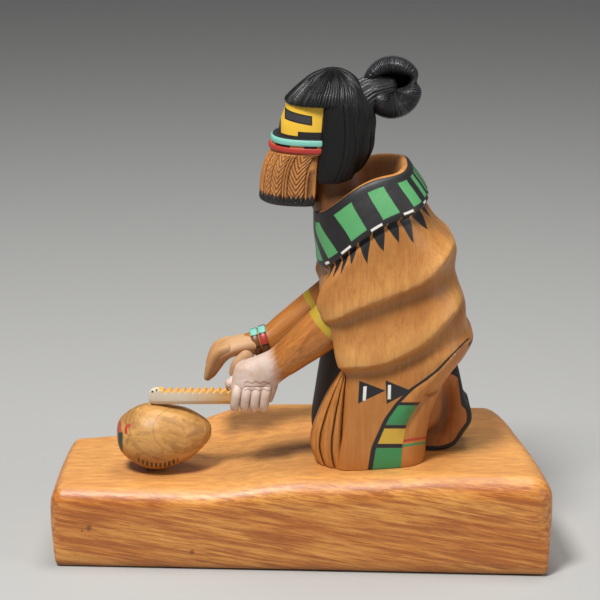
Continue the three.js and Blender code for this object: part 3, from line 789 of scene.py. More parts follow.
# Rows: [z, x front, x back, half width, squareness]
HAIR_FALL = [
    [120.8, 7, 21, 18.6, 6], [122.6, 6.4, 25.5, 19.4, 6], [128, 6.8, 30, 19.8, 6],
    [135, 7.2, 32.4, 20, 6], [142, 7.8, 32.6, 20, 6], [148, 8.4, 31.2, 20, 6],
    [152.2, 8.8, 29.6, 20, 6], [154, 9.4, 28.8, 19.6, 6],
]
HAIR_CROWN = [
    [152.4, -5.2, 28.2, 19.3, 2.35], [152.7, -6.2, 28.9, 20.1, 2.35], [153.2, -6.5, 29.2, 20.4, 2.35],
    [156, -4, 27.6, 19.6, 2.3], [160, 0.4, 25, 17, 2.2], [163.3, 4.7, 21.6, 12.6, 2.1],
    [165.2, 9.3, 17.8, 7.4, 2], [166, 12.4, 14.8, 3, 2],
]
HAIR_AROUND = 270


def hair(body):
    run = np.abs(1 - 2 * np.arange(HAIR_AROUND) / HAIR_AROUND)
    for rows, pitch, widest, cut, full, bare in (
        (HAIR_FALL, 1.8, 0.35, 0.2, 122, 120.8), (HAIR_CROWN, 1.0, 0.5, 0.42, 164.5, 166.2),
    ):
        z, front, back, half, square = through(rows, pitch).T
        rings = oval(HAIR_AROUND, z, front, back, half, square, back_square=2.3, widest=widest)
        grooves = strands(HAIR_AROUND, cut) * ramp(bare, full, z)[:, None]
        rings = rings + outward(rings) * grooves[..., None]
        nape = 1.3 * ramp(21.6, 22.8, rings[..., 0]) * ramp(150, 138, rings[..., 2])
        rings = rings - outward(rings) * nape[..., None]
        body.add(rings, "hair_black", run=run)


WHORL_MIDDLE = np.array([38.2, 0, 157.8])
WHORL_RIM = 12.6
WHORL_HALF = 6.2
WHORL_STEPS = 300
TUBE_STEPS = 30
# The hollow in the whorl is an oval, set high in the ring: its half sizes and its middle
HOLLOW_WIDE = 7.6
HOLLOW_HIGH = 3.0
HOLLOW_X = 0.4
HOLLOW_Z = 2.6
ROOT = [[22, 0, 150, 9, 8], [31, 0, 157, 7.4, 6.4], [36, 0, 158, 5, 4.5]]
ROOT_AROUND = 72


def whorl(body):
    turn = angles(WHORL_STEPS)
    around = angles(TUBE_STEPS)
    c, s = np.cos(turn), np.sin(turn)
    # How far the hollow's edge is from the middle, from its equation
    p = (c / HOLLOW_WIDE) ** 2 + (s / HOLLOW_HIGH) ** 2
    q = c * HOLLOW_X / HOLLOW_WIDE**2 + s * HOLLOW_Z / HOLLOW_HIGH**2
    r = (HOLLOW_X / HOLLOW_WIDE) ** 2 + (HOLLOW_Z / HOLLOW_HIGH) ** 2 - 1
    hollow = (q + np.sqrt(np.maximum(q * q - p * r, 0))) / p
    tube = ((WHORL_RIM - hollow) / 2 + strands(WHORL_STEPS, 0.6))[:, None]
    reach = ((WHORL_RIM + hollow) / 2)[:, None] + tube * np.cos(around)
    thick = WHORL_HALF * (tube / WHORL_HALF) ** 0.4 * np.sin(around)
    signed = (turn + math.pi) % (2 * math.pi) - math.pi
    notch = (1 - 0.16 * bell(signed, 0.2, 0.22))[:, None]
    seam = (1 - 0.28 * bell(signed, math.pi - 0.35, 0.2) * (signed > 0))[:, None]
    x = reach * c[:, None] * notch
    y = thick * 1.15 * notch * seam
    z = reach * s[:, None] * 1.05 * notch
    rings = np.stack([x, y, z], -1) + WHORL_MIDDLE
    body.add(rings, "whorl_lit_black", run=(turn / (2 * math.pi))[:, None], loop=True)
    x, _, z = WHORL_MIDDLE + (HOLLOW_X, 0, HOLLOW_Z)
    # The hollow's floor, painted near black as shade deep in the whorl
    deep = [[x, y, z, HOLLOW_WIDE + 1.6, HOLLOW_HIGH + 1.6] for y in (1.6, 4.6)]
    body.add(limb(deep, 32, 1.2, side=(1, 0, 0), dome=False), "whorl_hollow_shade")
    root = limb(ROOT, ROOT_AROUND, 1.2)
    cut = strands(ROOT_AROUND, 0.45)[None, :, None]
    body.add(root + outward(root) * cut, "whorl_lit_black", run=np.arange(ROOT_AROUND) / ROOT_AROUND)


# The gourd and the rasp
def spline(points, count):
    """A smooth curve through the points, with count steps in all"""
    points = np.array(points, float)
    place = np.arange(count + 1) / count * (len(points) - 1)
    index = np.minimum(place.astype(int), len(points) - 2)
    t = (place - index)[:, None]
    p0 = points[np.maximum(index - 1, 0)]
    p1 = points[index]
    p2 = points[index + 1]
    p3 = points[np.minimum(index + 2, len(points) - 1)]
    v0 = (p2 - p0) / 2
    v1 = (p3 - p1) / 2
    return (2 * p1 - 2 * p2 + v0 + v1) * t**3 + (3 * p2 - 3 * p1 - 2 * v0 - v1) * t**2 + v0 * t + p1


GRIP_POINT = GRIP + ON_SEAT + np.array([0, 0, RASP_LIFT])
GOURD_X = GRIP_POINT[0] - 58.9
GOURD_STEPS = 108
GOURD_AROUND = 90
# The gourd's outline: [share of its length, share of its half diameter]
GOURD_OUTLINE = [
    (0, 0), (0.03, 0.42), (0.12, 0.7), (0.27, 0.93), (0.43, 1), (0.57, 0.92), (0.76, 0.74),
    (0.92, 0.42), (0.985, 0.2), (1, 0),
]
# The rasp's section, in shares of its half width and half depth: the last two corners are its top
RASP_SECTION = np.array([(-1, -0.45), (-0.55, -1), (0.55, -1), (1, -0.45), (0.92, 1), (-0.92, 1)])


def gourd_rings():
    path = spline([(a * GOURD_LENGTH, w * GOURD_DIAMETER / 2) for a, w in GOURD_OUTLINE], GOURD_STEPS)[1:-1]
    angle = angles(GOURD_AROUND)
    share = path[:, :1] / GOURD_LENGTH
    x = np.broadcast_to(path[:, :1], (len(path), GOURD_AROUND))
    y = path[:, 1:] * np.cos(angle)
    z = path[:, 1:] * np.sin(angle) - GOURD_SAG * np.sin(math.pi * np.clip(share, 0, 1))
    x, z = rolled(x, z, math.radians(-GOURD_TILT))
    turned = np.stack([x + GOURD_X, y + GOURD_Y, z], -1)
    turned[..., 2] += (slab_top(turned[..., 0], turned[..., 1]) - turned[..., 2]).max() + CONTACT_GAP
    return turned, share


def rasp_rings(gourd):
    crossing = np.array([GOURD_X + GOURD_LENGTH / 2 + 1, GOURD_Y - 1.5])
    heading = GRIP_POINT[:2] - crossing
    heading /= np.linalg.norm(heading)
    offset = gourd[..., :2] - GRIP_POINT[:2]
    back = -(offset @ heading)
    aside = np.abs(offset[..., 0] * heading[1] - offset[..., 1] * heading[0])
    # It tilts until it lies on the gourd
    under = (aside < RASP_WIDTH) & (back > RASP_OVER_GOURD)
    rise = (gourd[..., 2] + CONTACT_GAP + RASP_DEPTH / 2 - GRIP_POINT[2])[under] / back[under]
    pitch = math.atan(rise.max())
    tip = -(1 - RASP_GRIP_SHARE) * RASP_LENGTH
    tail = RASP_GRIP_SHARE * RASP_LENGTH
    # Rows: [x, how far the top is cut down, size]
    rows = [(tip, 0, 0.55), (tip + 0.35, 0, 0.74), (tip + 1.2, 0, 0.9), (tip + 3, 0, 1)]
    for x in tip + 6.2 + np.arange(NOTCH_COUNT) * NOTCH_PITCH:
        rows += [(x - 0.12, 0, 1), (x + 0.1, 0.12, 1), (x + 0.26 * NOTCH_PITCH, NOTCH_DEPTH, 1)]
        rows += [(x + 0.34 * NOTCH_PITCH, NOTCH_DEPTH, 1), (x + 0.72 * NOTCH_PITCH, 0.2 * NOTCH_DEPTH, 1)]
    rows += [(tail - 1.5, 0, 1), (tail, 0, 0.7)]
    rings = []
    for x, drop, size in rows:
        corners = RASP_SECTION * (RASP_WIDTH / 2 * size, RASP_DEPTH / 2 * size)
        corners[4:, 1] -= drop
        # Each corner is cut off a little toward both its neighbours
        ways = np.stack([np.roll(corners, step, axis=0) - corners for step in (1, -1)], 1)
        ways *= RASP_EDGE / np.linalg.norm(ways, axis=2, keepdims=True)
        section = (corners[:, None] + ways).reshape(-1, 2)
        rings.append(np.column_stack([np.full(len(section), x), section]))
    x, y, z = np.moveaxis(np.array(rings), -1, 0)
    x, z = rolled(x, z, pitch)
    x, y = rolled(x, y, -math.atan2(heading[1], heading[0]))
    return np.stack([x, y, z], -1) + GRIP_POINT


# Finishes
def tint(red, green, blue):
    """A colour given as it looks, in steps of 255"""
    shares = [value / 255 for value in (red, green, blue)]
    return tuple(s / 12.92 if s <= 0.04045 else ((s + 0.055) / 1.055) ** 2.4 for s in shares) + (1.0,)


class Wire:
    """A number or colour in a node tree. Arithmetic on numbers adds math nodes."""

    def __init__(self, socket):
        self.socket = socket
        self.tree = socket.id_data

    def math(self, kind, *others):
        node = self.tree.nodes.new("ShaderNodeMath")
        node.operation = kind
        for entry, value in zip(node.inputs, (self, *others)):
            connect(value, entry)
        return Wire(node.outputs[0])

    def __add__(self, other):
        return self.math("ADD", other)

    def __sub__(self, other):
        return self.math("SUBTRACT", other)

    def __mul__(self, other):
        return self.math("MULTIPLY", other)

    def least(self, other):
        return self.math("MINIMUM", other)

    def most(self, other):
        return self.math("MAXIMUM", other)

    def size(self):
        return self.math("ABSOLUTE")

    def cycle(self, count=1.0, start=0.0):
        return self.math("MULTIPLY_ADD", count, start).math("FRACT")


def connect(value, entry):
    if isinstance(value, Wire):
        value.tree.links.new(value.socket, entry)
    else:
        entry.default_value = value


def above(wire, edge, soft):
    result = wire.math("MULTIPLY_ADD", 1 / soft, 0.5 - edge / soft)
    result.socket.node.use_clamp = True
    return result


def below(wire, edge, soft):
    return above(wire.math("MULTIPLY", -1.0), -edge, soft)


def within(wire, low, high, soft):
    return above(wire, low, soft).least(below(wire, high, soft))


def inside(u, v, corners, soft=0.5):
    """1 inside a convex outline on the drawing"""
    middle = np.mean(corners, axis=0)
    worst = None
    for (x0, y0), (x1, y1) in zip(corners, corners[1:] + corners[:1]):
        way = np.array([y1 - y0, x0 - x1]) / math.hypot(x1 - x0, y1 - y0)
        offset = way[0] * x0 + way[1] * y0
        if way @ middle > offset:
            way = -way
            offset = -offset
        gap = u.math("MULTIPLY_ADD", float(way[0]), v.math("MULTIPLY_ADD", float(way[1]), float(-offset)))
        worst = gap if worst is None else worst.most(gap)
    return below(worst, 0, soft)


def coats(ground, *layers):
    """A ground with layers of (mask, colour) laid over it in turn"""
    for mask, colour in layers:
        node = mask.tree.nodes.new("ShaderNodeMix")
        node.data_type = "RGBA"
        connect(mask, node.inputs[0])
        connect(ground, node.inputs[6])
        connect(colour, node.inputs[7])
        ground = Wire(node.outputs[2])
    return ground


def parts(tree, output):
    """The three numbers of a vector"""
    node = tree.nodes.new("ShaderNodeSeparateXYZ")
    tree.links.new(output, node.inputs[0])
    return [Wire(entry) for entry in node.outputs]


def field(tree, name, output="Fac"):
    node = tree.nodes.new("ShaderNodeAttribute")
    node.attribute_name = name
    return Wire(node.outputs[output])


def drawn(tree):
    """Where the surface falls on the side drawing"""
    return parts(tree, field(tree, "drawing", "Vector").socket)[:2]


def far_from(u, v, x, y, rx=1.0, ry=1.0):
    """How far the drawing is from a spot, in shares of the two radii"""
    across = ((u - x) * (1 / rx)).math("POWER", 2.0)
    down = ((v - y) * (1 / ry)).math("POWER", 2.0)
    return (across + down).math("SQRT")


def upward(tree):
    """How far the surface faces up, from -1 to 1"""
    return parts(tree, tree.nodes.new("ShaderNodeNewGeometry").outputs["Normal"])[2]


def place(tree):
    """Object coordinates in millimetres"""
    node = tree.nodes.new("ShaderNodeTexCoord")
    scale = tree.nodes.new("ShaderNodeVectorMath")
    scale.operation = "SCALE"
    scale.inputs["Scale"].default_value = 1 / MM
    tree.links.new(node.outputs["Object"], scale.inputs[0])
    return parts(tree, scale.outputs[0])


def dial(node, settings):
    for label, value in settings.items():
        node.inputs[label].default_value = value


def noise(tree, sizes, turn=(0, 0, 0), detail=4.0, rough=0.6, twist=0.0):
    """Noise with patches of the given sizes in millimetres, turned by the given degrees"""
    node = tree.nodes.new("ShaderNodeTexCoord")
    mapping = tree.nodes.new("ShaderNodeMapping")
    mapping.vector_type = "TEXTURE"
    dial(mapping, {"Rotation": [math.radians(a) for a in turn], "Scale": [size * MM for size in sizes]})
    tree.links.new(node.outputs["Object"], mapping.inputs["Vector"])
    texture = tree.nodes.new("ShaderNodeTexNoise")
    dial(texture, {"Scale": 1.0, "Detail": detail, "Roughness": rough, "Distortion": twist})
    tree.links.new(mapping.outputs[0], texture.inputs["Vector"])
    return Wire(texture.outputs[0])


def finish(name, colour, roughness, bump=None, bump_size=0.1, coat=0.0, coat_rough=0.4, specular=0.5):
    """A material: colour and bump are functions of its node tree"""
    material = bpy.data.materials.new(name)
    material.use_nodes = True
    tree = material.node_tree
    shader = tree.nodes["Principled BSDF"]
    connect(colour(tree), shader.inputs["Base Color"])
    dial(shader, {"Roughness": roughness, "Specular IOR Level": specular})
    dial(shader, {"Coat Weight": coat, "Coat Roughness": coat_rough})
    if bump is not None:
        node = tree.nodes.new("ShaderNodeBump")
        dial(node, {"Strength": 1.0, "Distance": bump_size * MM})
        connect(bump(tree), node.inputs["Height"])
        tree.links.new(node.outputs[0], shader.inputs["Normal"])
    return material


def wood(tree, light, dark, sizes, turn=(0, 0, 0), contrast=0.35):
    """Wood with long soft streaks and fine fibres"""
    broad = noise(tree, [s * 5 for s in sizes], turn, detail=3.0)
    streak = noise(tree, sizes, turn, detail=6.0, rough=0.65, twist=0.3)
    fibre = noise(tree, [sizes[0] * 0.6, sizes[1] * 0.28, sizes[2] * 0.28], turn, detail=3.0)
    return coats(
        light,
        (above(broad, 0.52, 0.3) * 0.45, dark),
        (above(streak, 0.56, 0.22) * contrast, dark),
        (above(fibre, 0.6, 0.2) * (contrast * 0.6), dark),
    )


BLACK = tint(30, 28, 30)
WHITE = tint(228, 226, 218)
GREEN = tint(84, 158, 98)
DEEP_GREEN = tint(58, 138, 82)
YELLOW = tint(208, 170, 58)
RED = tint(178, 52, 40)
TURQUOISE = tint(128, 198, 182)
LEATHER = tint(120, 72, 40)
PALE_LEATHER = tint(126, 78, 44)
DARK_LEATHER = tint(104, 60, 34)
DEEP_LEATHER = tint(100, 58, 32)

# How the grain runs: degrees about the three axes
LEVEL_GRAIN = (0, 9, 0)
ARM_GRAIN = (0, -43, 0)
ARM_STREAKS = (28, 1.1, 1.1)

# Painted marks, on the side drawing
KNOTS = ((192, 552, 3.2), (89, 528, 3.6), (82, 531, 1.6), (148, 470, 1.4))
ARROWHEADS = ([(359.3, 380.8), (358, 403.6), (385.6, 390.6)], [(385.6, 380.4), (386.6, 404), (411.6, 390.8)])
ARROW_BARS = (
    [(363.4, 386.6), (366.8, 386.2), (365.8, 400.6), (362.6, 400.8)],
    [(388, 385), (391, 385), (390.8, 399), (387.6, 399.4)],
)
PANEL_BLOCKS = (
    (402.2, 405.5, BLACK), (405.5, 425, DEEP_GREEN), (425, 428.6, BLACK), (428.6, 443.8, YELLOW),
    (443.8, 448, BLACK), (448, 474, DEEP_GREEN),
)
PANEL_LINES = ((500.2, 502.7, RED), (505.2, 507.7, DEEP_GREEN))
# Three carved lines on the hand: [height, how wavy]
HAND_LINES = ((382.5, 0.8), (386.3, 0.12), (389.9, 0.8))
# Rings burned on the gourd: [middle, radii, where each starts and ends]
GOURD_RINGS = (
    (180, 430, 27, 23, 150, 210), (176, 426, 47, 35, 126, 176), (177, 425, 51, 37.5, 122, 182),
)
GOURD_MARKS = (
    [(126.4, 425), (130.6, 423.6), (131, 426), (127, 427.6)],
    [(124.6, 427), (127.4, 426), (127, 434), (124.8, 434)],
)
RASP_EYES = ((152.4, 391.6), (156.6, 390.2))


def slab_streak(tree):
    return noise(tree, (46, 2.2, 1.7), LEVEL_GRAIN, detail=8.0, rough=0.66, twist=0.35)


def slab_colour(tree):
    broad = noise(tree, (70, 24, 12), LEVEL_GRAIN, detail=3.0)
    streak = slab_streak(tree)
    fibre = noise(tree, (16, 0.8, 0.7), LEVEL_GRAIN, rough=0.7)
    fleck = noise(tree, (5.5, 1.1, 0.9), LEVEL_GRAIN, detail=3.0)
    u, v = drawn(tree)
    ground = coats(
        tint(226, 154, 72),
        (above(broad, 0.5, 0.25), tint(202, 122, 48)),
        (above(streak, 0.52, 0.12) * 0.7, tint(156, 78, 24)),
        (below(streak, 0.4, 0.14) * 0.4, tint(240, 182, 102)),
        (above(fibre, 0.57, 0.14) * 0.45, tint(132, 64, 20)),
        (above(fleck, 0.66, 0.06) * 0.35, tint(122, 62, 28)),
        # Paler where the surface faces up, painted light from above with some rubbed wear, and darker along
        # the foot as painted shade
        (above(upward(tree), 0.8, 0.3) * 0.45, tint(238, 180, 108)),
        (below(place(tree)[2], 2.5, 9) * 0.6, tint(112, 60, 20)),
    )
    for x, y, r in KNOTS:
        knot = below(far_from(u, v, x, y), r * 0.7, r * 0.8)
        ground = coats(ground, (knot * 0.8, tint(104, 58, 32)))
    return ground


def robe_colour(tree):
    run, level, edge, crease, wear_and_fold_shade, groove, tab, reach = (
        field(tree, name) for name in ("run", "level", "edge", "crease", "wear_and_fold_shade", "groove", "tab", "reach")
    )
    u, v = drawn(tree)
    mottle = noise(tree, (14, 14, 20), detail=5.0, twist=0.4)
    cloth = below(level, -3, 4)
    ground = coats(
        wood(tree, tint(216, 154, 82), tint(166, 98, 38), (1.3, 1.3, 26), contrast=0.55),
        (above(mottle, 0.54, 0.16) * 0.35, tint(168, 100, 40)),
        # Painted shade where the cloth sinks in below each crease, a painted highlight on the crests, and
        # browner toward its foot
        (below(wear_and_fold_shade, 0.1, 1.5).least(cloth) * 0.62, tint(146, 86, 32)),
        (above(wear_and_fold_shade, 0.75, 0.5).least(cloth) * 0.25, tint(226, 170, 100)),
        (below(level, -58, 16) * 0.4, tint(188, 114, 44)),
    )
    # Collar band with its green blocks, the fringe of pointed tabs below it and the white dashes
    beat = groove.cycle()
    block = within(beat, 0.0, 0.5, 0.02).least(within(level, 2.0, 13.8, 0.25))
    way = tab.cycle()
    share = (way * 1.33 - 0.067).least(way * -5.0 + 5.0).most(0.0).math("POWER", 0.85)
    fringe = above(share * reach + level, 0, 0.4).least(below(level, 0.1, 0.2))
    dash = within(beat, 0.58, 0.92, 0.02).least(within(level, 0.25, 1.25, 0.2))
    ground = coats(
        ground, (within(level, 0.0, 17.6, 0.25), BLACK), (block, GREEN), (fringe, BLACK), (dash, WHITE),
    )
    ground = coats(ground, *((inside(u, v, corners), BLACK) for corners in ARROWHEADS))
    ground = coats(ground, *((inside(u, v, corners), WHITE) for corners in ARROW_BARS))
    # Blocks between the painted edge and the crease, two lines beyond it, and the edge itself
    strip = above(edge, 0.9, 0.3).least(below(crease, 0, 0.6))
    for low, high, colour in PANEL_BLOCKS:
        ground = coats(ground, (strip.least(within(v, low, high, 0.4)), colour))
    slope = u.math("MULTIPLY_ADD", 0.15, v)
    beyond = above(crease, 0.2, 0.4).least(above(v, 430, 1))
    for low, high, colour in PANEL_LINES:
        ground = coats(ground, (beyond.least(within(slope, low, high, 0.5)), colour))
    side_line = below(edge.size(), 1.0, 0.3).least(above(v, 338, 2)).least(below(run, 0.9, 0.02))
    back_line = within(level, -51.5, -50.5, 0.3).least(above(run, 0.8, 0.02))
    line = side_line.most(back_line).least(below(level, -20, 1))
    # Wood inside the collar is browner, with painted shade darkening it deeper in the hollow round the neck
    return coats(ground, (line, BLACK), (above(level, 20.5, 5) * 0.85, tint(132, 80, 44)))


def skin_colour(tree):
    ground = wood(tree, tint(214, 144, 66), tint(142, 78, 28), (1.2, 1.2, 30), contrast=0.6)
    # Painted shade in the knees' creases and over the neck
    return coats(ground, (above(field(tree, "groove"), 0.42, 0.9) * 0.95, tint(78, 42, 18)))


def foot_colour(tree):
    ground = wood(tree, tint(190, 124, 62), tint(132, 76, 34), (1.2, 1.2, 30), contrast=0.5)
    sole = above(field(tree, "level"), 0.8, 0.2)
    # Painted shade in the ankle's hollow, then the black-painted sole
    return coats(ground, (field(tree, "groove"), tint(74, 44, 24)), (sole, BLACK))


def arm_colour(band, pale):
    """Brown wood with a yellow band, rubbed pale toward the hand if asked"""
    def colour(tree):
        ring = within(field(tree, "level"), band[0], band[1], 0.3)
        ground = wood(tree, tint(196, 124, 52), tint(122, 62, 20), ARM_STREAKS, ARM_GRAIN, contrast=0.6)
        ground = coats(ground, (ring, tint(182, 152, 38)))
        return coats(ground, (wrist(tree), tint(206, 182, 168))) if pale else ground
    return colour


def wrist(tree):
    """1 on the pale hand, fading to 0 up the arm"""
    u, v = drawn(tree)
    rub = noise(tree, (9, 2, 2), ARM_GRAIN) * 14.0
    return below(u.math("MULTIPLY_ADD", 0.96, v * -0.27) + rub, 172, 11)


def hand_colour(tree, pale, wear):
    wear_and_fold_shade = noise(tree, (5, 5, 5), detail=5.0)
    return coats(
        pale,
        (above(wear_and_fold_shade, 0.56, 0.22) * wear, tint(178, 132, 92)),
        # Painted shade between the fingers
        (field(tree, "groove") * 0.75, tint(116, 76, 50)),
    )


def near_hand_colour(tree):
    u, v = drawn(tree)
    ground = hand_colour(tree, tint(212, 188, 174), 0.4)
    wave = (u * 0.78).math("SINE")
    for height, bend in HAND_LINES:
        line = below((v - height - wave * bend).size(), 0.45, 0.5).least(within(u, 244.5, 270, 1))
        ground = coats(ground, (line * 0.85, tint(120, 72, 44)))
    wooden = wood(tree, tint(200, 130, 58), tint(132, 70, 24), ARM_STREAKS, ARM_GRAIN, contrast=0.6)
    return coats(wooden, (wrist(tree), ground))


def far_hand_colour(tree):
    ground = hand_colour(tree, tint(190, 140, 88), 0.6)
    return coats(ground, (within(drawn(tree)[0], 226, 262, 12) * 0.35, tint(222, 186, 152)))


def bracelet_colour(tiles):
    def colour(tree):
        run = field(tree, "run")
        node = tree.nodes.new("ShaderNodeValToRGB")
        node.color_ramp.interpolation = "CONSTANT"
        stops = node.color_ramp.elements
        while len(stops) < len(tiles):
            stops.new(0.5)
        for k, tile in enumerate(tiles):
            stops[k].position = k / len(tiles)
            stops[k].color = tile
        tree.links.new(run.socket, node.inputs[0])
        seam = above((run.cycle(len(tiles)) - 0.5).size(), 0.43, 0.03)
        return coats(Wire(node.outputs[0]), (seam, tint(46, 26, 18)))
    return colour


def grey(value):
    return (value, value, value, 1)


def mask_colour(tree):
    x, y, z = place(tree)
    z = z - SEAT_HEIGHT
    grain = noise(tree, (1.2, 1.2, 16))
    scallop = (field(tree, "run") * 1.6).math("SINE").size() * 1.6 + noise(tree, (1.4, 1.4, 2.2)) * 3.2
    strip = coats(tint(214, 150, 84), (within(x, -10.2, -4.2, 0.3).most(within(x, 1.6, 7, 0.3)), BLACK))
    # The yellow face stands on a stepped black foot and has a dark eye on each side
    step = coats(grey(140.2), (above(x, -0.9, 0.1), grey(142.1)), (below(x, -7.9, 0.1), grey(145.0)))
    slant = x * 0.12 + z
    eye = within(x, -6.3, 5, 0.2).least(within(slant, 145.4, 149.4, 0.2))
    core = within(x, -5.7, 4.4, 0.2).least(within(slant, 146.0, 148.8, 0.2))
    return coats(
        tint(212, 142, 74),
        (above(grain, 0.55, 0.25) * 0.5, tint(150, 84, 34)),
        # Painted shade in the beard's cuts and slots
        (field(tree, "groove") * 0.95, tint(62, 30, 12)),
        (below(z - scallop, 112.4, 1.4), BLACK),
        (above(z, 132.9, 0.1), RED),
        (above(z, 135.45, 0.15), strip),
        (above(z, 136.35, 0.15), TURQUOISE),
        (above(z, 138.85, 0.12), BLACK),
        (above(z - step, 0, 0.15), tint(240, 192, 58)),
        (eye, BLACK),
        (core, tint(58, 56, 60)),
    )


def gourd_colour(tree):
    u, v = drawn(tree)
    stain = noise(tree, (9, 9, 7), detail=7.0, rough=0.7, twist=0.8)
    ground = coats(
        wood(tree, tint(210, 158, 88), tint(160, 104, 48), (30, 2.4, 2.4), (0, 14, 0)),
        (above(stain, 0.53, 0.1) * 0.5, tint(128, 84, 40)),
        # Darker toward its foot: painted shade under its belly, and stain
        (above(v, 455, 18) * 0.5, tint(128, 78, 34)),
    )
    for x, y, rx, ry, low, high in GOURD_RINGS:
        gap = (far_from(u, v, x, y, rx, ry) - 1.0).size() * ry
        ring = below(gap, 0.4, 0.6).least(within(u, low, high, 3))
        ground = coats(ground, (ring * 0.45, tint(112, 74, 44)))
    # A row of small teeth low on its side, then the marks of its painted end
    rim = ((u - 158) * (1 / 40)).math("POWER", 2.0) * 22.0
    teeth = within(u, 138, 178, 1).least(within(u.cycle(1 / 4.4), 0.2, 0.75, 0.1))
    row = within(v + rim, 463.0, 467.4, 0.8).least(teeth)
    ground = coats(ground, (row * 0.9, tint(46, 28, 20)))
    ground = coats(ground, *((inside(u, v, corners), tint(184, 52, 46)) for corners in GOURD_MARKS))
    return coats(
        ground,
        (within(u, 118, 122.6, 0.8).least(above(v, 432, 2)), tint(44, 62, 46)),
        (below(u, 121.4, 1).least(within(v, 421, 432, 2)) * 0.8, tint(176, 60, 70)),
    )


def rasp_colour(tree):
    u, v = drawn(tree)
    top = above(upward(tree), 0.45, 0.1).least(above(u, 158.5, 1))
    ground = coats(
        wood(tree, tint(220, 170, 98), tint(170, 110, 50), (20, 1, 1), contrast=0.4),
        (below(u, 205, 46) * 0.9, tint(216, 206, 188)),
        (top, tint(224, 172, 92)),
    )
    return coats(ground, *((below(far_from(u, v, x, y), 1.1, 0.5), BLACK) for x, y in RASP_EYES))


HAIR_COUNT = 95


def fine_hair(count):
    def bump(tree):
        return (field(tree, "run").cycle(count) - 0.5).size()
    return bump


def plain(colour):
    return lambda tree: colour


def grain_bump(sizes, turn=(0, 0, 0)):
    return lambda tree: noise(tree, sizes, turn, detail=6.0)


long_grain = grain_bump((1.2, 1.2, 30))
arm_grain = grain_bump((28, 1, 1), ARM_GRAIN)
hand_grain = grain_bump((4, 4, 4))
bracelet_end = [DARK_LEATHER, PALE_LEATHER, DEEP_LEATHER, LEATHER]
slab_wood = finish("slab_wood", slab_colour, 0.42, slab_streak, 0.25, coat=0.25, coat_rough=0.35)
figure_finishes = [
    finish("robe_wood", robe_colour, 0.5, grain_bump((1.0, 1.0, 16)), 0.16, coat=0.12),
    finish("skin_wood", skin_colour, 0.5, long_grain, coat=0.1),
    finish("dress_black", plain(tint(34, 28, 26)), 0.6, grain_bump((1.2, 1.2, 20))),
    finish("foot_wood", foot_colour, 0.5, long_grain),
    finish("near_arm", arm_colour((28.6, 32.8), True), 0.46, arm_grain, 0.12, coat=0.15),
    finish("far_arm", arm_colour((31.0, 34.8), False), 0.46, arm_grain, 0.12, coat=0.15),
    finish("near_hand", near_hand_colour, 0.6, hand_grain),
    finish("far_hand", far_hand_colour, 0.6, hand_grain),
    finish("bracelet_one", bracelet_colour(
        [LEATHER, DARK_LEATHER, TURQUOISE, tint(170, 58, 48)] + bracelet_end), 0.4),
    finish("bracelet_two", bracelet_colour([LEATHER, TURQUOISE, TURQUOISE, LEATHER] + bracelet_end), 0.4),
    finish("mask_paint", mask_colour, 0.5, grain_bump((2, 2, 2)), 0.04, coat=0.1),
    finish("hair_black", plain(tint(14, 14, 15)), 0.42, fine_hair(HAIR_COUNT), 0.24, specular=0.42),
    # The whorl's hair is the same black, painted lighter as light falling on its strands
    finish("whorl_lit_black", plain(tint(46, 46, 49)), 0.36, fine_hair(HAIR_COUNT), 0.24, specular=0.6),
    # Near black: painted shade in the whorl's hollow
    finish("whorl_hollow_shade", plain(tint(6, 6, 7)), 0.8, specular=0.1),
]
gourd_wood = finish("gourd_wood", gourd_colour, 0.5, grain_bump((20, 2, 2)), 0.08, coat=0.1)
rasp_wood = finish("rasp_wood", rasp_colour, 0.55, grain_bump((20, 1, 1)), 0.08)


def paint_fields(data, carving):
    """Where the edge, crease, folds and fringe of the robe fall, for its finish"""
    grid = np.vstack(carving.points)
    run, u, v = grid[:, 3], grid[:, 6], grid[:, 7]
    tips, depths = TABS.T
    # The painted edge grows wider toward the foot
    width = mix(0.8, 2.4, np.clip((v - 343) / 105, 0, 1))
    add_field(data, "edge", beside(EDGE_LINE, u, v) / width)
    add_field(data, "crease", beside(CREASE, u, v))
    # The folds' swag, for painted shade in their hollows and a painted highlight on their crests
    add_field(data, "wear_and_fold_shade", swag(u, v))
    add_field(data, "tab", np.interp(run, tips, np.arange(len(tips)) + 0.8))
    add_field(data, "reach", np.interp(run, tips, depths))


# Pieces
base = slab().piece("slab_carving", [slab_wood], sharp=60)

carved = Carving()
for carve in (robe, neck_and_chest, dress):
    carve(carved)
# The far knee is set back a little
knee_folds(carved, -1, 0)
knee_folds(carved, 1, 4)
foot(carved, -1)
foot(carved, 1)
for carve in (arms, bracelets, near_hand, far_hand, mask, hair, whorl):
    carve(carved)
figure = carved.piece("maiden", figure_finishes)
paint_fields(figure.data, carved)

gourd_shape, gourd_share = gourd_rings()
gourd_body = Carving()
gourd_body.add(gourd_shape, "gourd_wood", run=gourd_share, seat=False)
gourd = gourd_body.piece("gourd_carving", [gourd_wood])

rasp_body = Carving()
rasp_body.add(rasp_rings(gourd_shape), "rasp_wood", seat=False)
rasp = rasp_body.piece("rasp_carving", [rasp_wood], sharp=30)

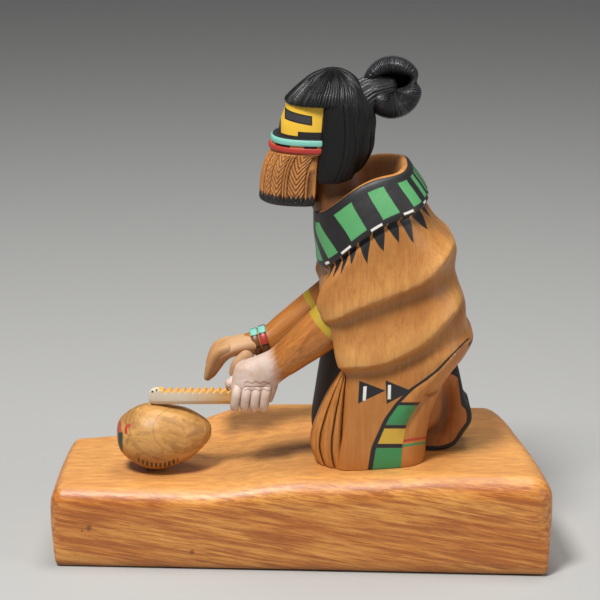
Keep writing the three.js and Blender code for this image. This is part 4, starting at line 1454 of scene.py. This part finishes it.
for thing, node, slot in (
    (base, "base", "slab_wood"), (figure, "figure", "carved_figure"),
    (gourd, "gourd", "gourd_shell"), (rasp, "rasp", "rasp_wood"),
):
    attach(thing, "root")
    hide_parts(node)

# Floor, light and camera
FLOOR_HALF = 8
FLOOR_Z = -0.0002
floor_corners = [(x * FLOOR_HALF, y * FLOOR_HALF, FLOOR_Z) for x, y in ((-1, -1), (1, -1), (1, 1), (-1, 1))]
floor_data = bpy.data.meshes.new("floor")
floor_data.from_pydata(floor_corners, [], [(0, 1, 2, 3)])
floor_data.materials.append(finish("floor_pale", plain(tint(176, 176, 174)), 0.85))
floor = bpy.data.objects.new("floor", floor_data)
bpy.context.scene.collection.objects.link(floor)


LAMP_AIM = np.array([0, 0, 0.1])


def lamp(name, spot, size, watts, colour=(1, 1, 1)):
    """A soft round lamp, turned to the figure's middle"""
    data = bpy.data.lights.new(name, "AREA")
    data.shape = "DISK"
    data.size = size
    data.energy = watts
    data.color = colour
    light = bpy.data.objects.new(name, data)
    light.location = spot
    x, y, z = LAMP_AIM - np.array(spot)
    light.rotation_euler = (math.atan2(math.hypot(x, y), -z), 0, math.atan2(y, x) - math.pi / 2)
    bpy.context.scene.collection.objects.link(light)


lamp("key", (-0.36, -0.56, 1.2), 0.35, 18.5, (1, 0.985, 0.96))
lamp("fill", (1.0, -0.45, 0.55), 0.6, 3.2, (1, 0.99, 0.97))
lamp("top", (0.1, 0.1, 1.2), 0.5, 5)

world = bpy.data.worlds.new("studio")
world.use_nodes = True
dial(world.node_tree.nodes["Background"], {"Color": (0.9, 0.92, 0.95, 1), "Strength": 0.14})
bpy.context.scene.world = world
bpy.context.scene.view_settings.view_transform = "Standard"

camera_data = bpy.data.cameras.new("camera")
camera_data.sensor_width = SENSOR
camera_data.lens = SENSOR * FOCAL / PIXELS
camera = bpy.data.objects.new("camera", camera_data)
spot = AIM + DISTANCE * np.array([0, -math.cos(ELEVATION), math.sin(ELEVATION)])
camera.location = tuple(spot * MM)
camera.rotation_euler = (math.pi / 2 - ELEVATION, 0, 0)
bpy.context.scene.collection.objects.link(camera)
bpy.context.scene.camera = camera
